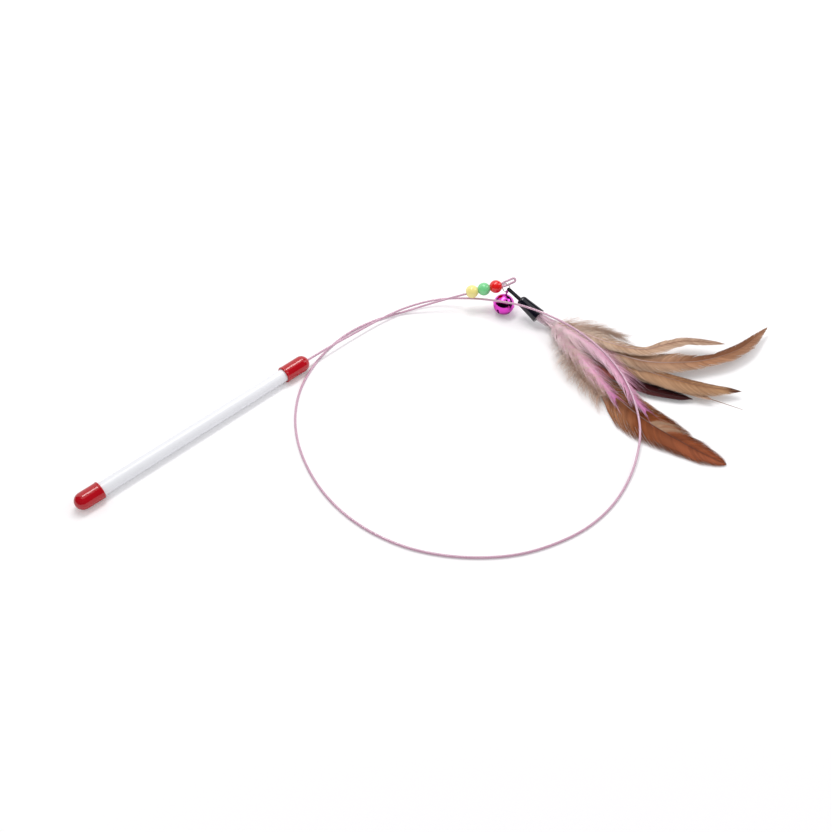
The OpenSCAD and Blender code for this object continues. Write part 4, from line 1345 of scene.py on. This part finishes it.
def vane_material(name, along, core, edge, core_share, edge_share, dark, flank=None, patch=None):
    """Barbs: colours along the shaft, others beside it and at the edge, and each barb a shade of its own.

    Flank and patch lie on the left side alone, the patch only on some streaks.
    """
    finish = Finish(name)
    share, t, tone, lock, left, streak = [finish.attribute(label) for label in
                                          ("share", "along", "tone", "lock", "flank", "streak")]
    cloud = finish.noise(90, 3)
    core = srgb(core)
    base = finish.add("ShaderNodeValToRGB", {"stops": [(place, srgb(colour)) for place, colour in along]},
                      {"Fac": share + (cloud - 0.5) * 0.08})
    base = finish.mix((1 - t.smooth(0.02, 0.4)) * core_share, base, core)
    base = finish.mix(t.smooth(0.55, 1.0) * edge_share, base, srgb(edge))
    for stretch, blur in ((flank, 0.08), (patch, 0.025)):
        if stretch:
            colour, low, high, most = stretch
            there = share.smooth(low - blur, low + blur) * (1 - share.smooth(high - blur, high + blur))
            if stretch is patch:
                there = there * (streak * 0.6 + cloud).smooth(0.5, 0.9)
            base = finish.mix(there * left.smooth(0.3, 0.7) * most, base, srgb(colour))
    depth = (tone * 0.2 + lock * 0.2 + streak * 0.6) * dark + (cloud - 0.5) * 0.1
    base = finish.mix(depth.clamp(), base, tint(core, 0.5))
    return finish.feed(Base_Color=base, Roughness=0.62 - tone * 0.16, Specular_IOR_Level=0.12)


def shaft_material(name, quill, tip):
    """A shaft of pale horn that takes the feather's colour towards its tip."""
    finish = Finish(name)
    cloud = finish.noise(500, 2)
    base = finish.add("ShaderNodeValToRGB", {"stops": [(0.05, srgb(quill)), (0.75, srgb(tip))]},
                      {"Fac": finish.attribute("share") + (cloud - 0.5) * 0.1})
    return finish.feed(Base_Color=base, Roughness=0.3 + cloud * 0.12)


def grow_group(context, feathers, node="feather_", piece="", **shared):
    """Grows a group of feathers on the lure, each from VANE, what its group shares and its own values."""
    materials = bpy.data.materials
    tree = bpy.data.node_groups.get("barbs") or barb_tree()
    for name, own in feathers.items():
        feather = {**VANE, **shared, **own}
        vane, stem = feather["vane"], feather["stem"]
        mesh = feather_line(piece + name + "_path", context.scene.wand_lure, feather)
        corners = [corner.co for corner in mesh.vertices]
        length = sum((b - a).length for a, b in zip(corners, corners[1:]))
        values = {label.title(): feather[label] for label in TREE_VALUES}
        values.update({
            "Length": length, "Width": feather["broad"] * length / feather["count"],
            "Thickness": mm(feather["thickness"]), "Shaft": mm(feather["shaft"]),
            "Vane": materials.get(vane) or vane_material(vane, *VANES[vane]),
            "Stem": materials.get(stem) or shaft_material(stem, *SHAFTS[stem])})
        grown_piece = grown(piece + name, mesh, tree, values)
        kept = grown_piece.data.attributes
        for label in [a.name for a in kept if a.name not in MESH_VALUES and not a.name.startswith(".")]:
            kept.remove(kept[label])
        fixed(grown_piece, "lure", node + name)
    return {"FINISHED"}


class WAND_OT_tan_feathers(bpy.types.Operator):
    """The four tan feathers: long, sickle, middle and the one with a bare tip."""

    bl_idname = "wand.tan_feathers"
    bl_label = "Tan feathers"

    def execute(self, context):
        return grow_group(context, TAN, slot="feather_tan", vane="vane_tan_pale", stem="shaft_tan")


class WAND_OT_brown_feathers(bpy.types.Operator):
    """The broad rust feather, and the dark maroon one above it."""

    bl_idname = "wand.brown_feathers"
    bl_label = "Brown feathers"

    def execute(self, context):
        return grow_group(context, BROWN)


class WAND_OT_hackles(bpy.types.Operator):
    """The two dyed pink hackle feathers, with long barbs that end free."""

    bl_idname = "wand.hackles"
    bl_label = "Pink hackles"

    def execute(self, context):
        return grow_group(context, PINK, slot="feather_pink", vane="vane_pink", stem="shaft_pink", **HACKLE)


class WAND_OT_plumes(bpy.types.Operator):
    """The downy plumes: beige on the left, tan on top."""

    bl_idname = "wand.plumes"
    bl_label = "Downy plumes"

    def execute(self, context):
        return grow_group(context, PLUMES, "plume_", "down_", slot="down_grey", stem="shaft_down", **DOWN)


class WAND_PT_panel(bpy.types.Panel):
    """Lists the wand's operators."""

    bl_idname = "WAND_PT_panel"
    bl_label = "Teaser wand"
    bl_space_type = "VIEW_3D"
    bl_region_type = "UI"
    bl_category = "Wand"

    def draw(self, context):
        for operator in OPERATORS:
            self.layout.operator(operator.bl_idname)


OPERATORS = (WAND_OT_stage, WAND_OT_wire, WAND_OT_handle, WAND_OT_beads, WAND_OT_ring, WAND_OT_bell,
             WAND_OT_cone, WAND_OT_tan_feathers, WAND_OT_brown_feathers, WAND_OT_hackles, WAND_OT_plumes)


def register():
    for name, group in SETTINGS.items():
        bpy.utils.register_class(group)
        setattr(bpy.types.Scene, name, PointerProperty(type=group))
    for item in (*OPERATORS, WAND_PT_panel):
        bpy.utils.register_class(item)


def unregister():
    for item in (WAND_PT_panel, *reversed(OPERATORS)):
        bpy.utils.unregister_class(item)
    for name, group in reversed(SETTINGS.items()):
        delattr(bpy.types.Scene, name)
        bpy.utils.unregister_class(group)


def main():
    register()
    for operator in OPERATORS:
        group, name = operator.bl_idname.split(".")
        getattr(getattr(bpy.ops, group), name)()


if __name__ == "__main__":
    main()
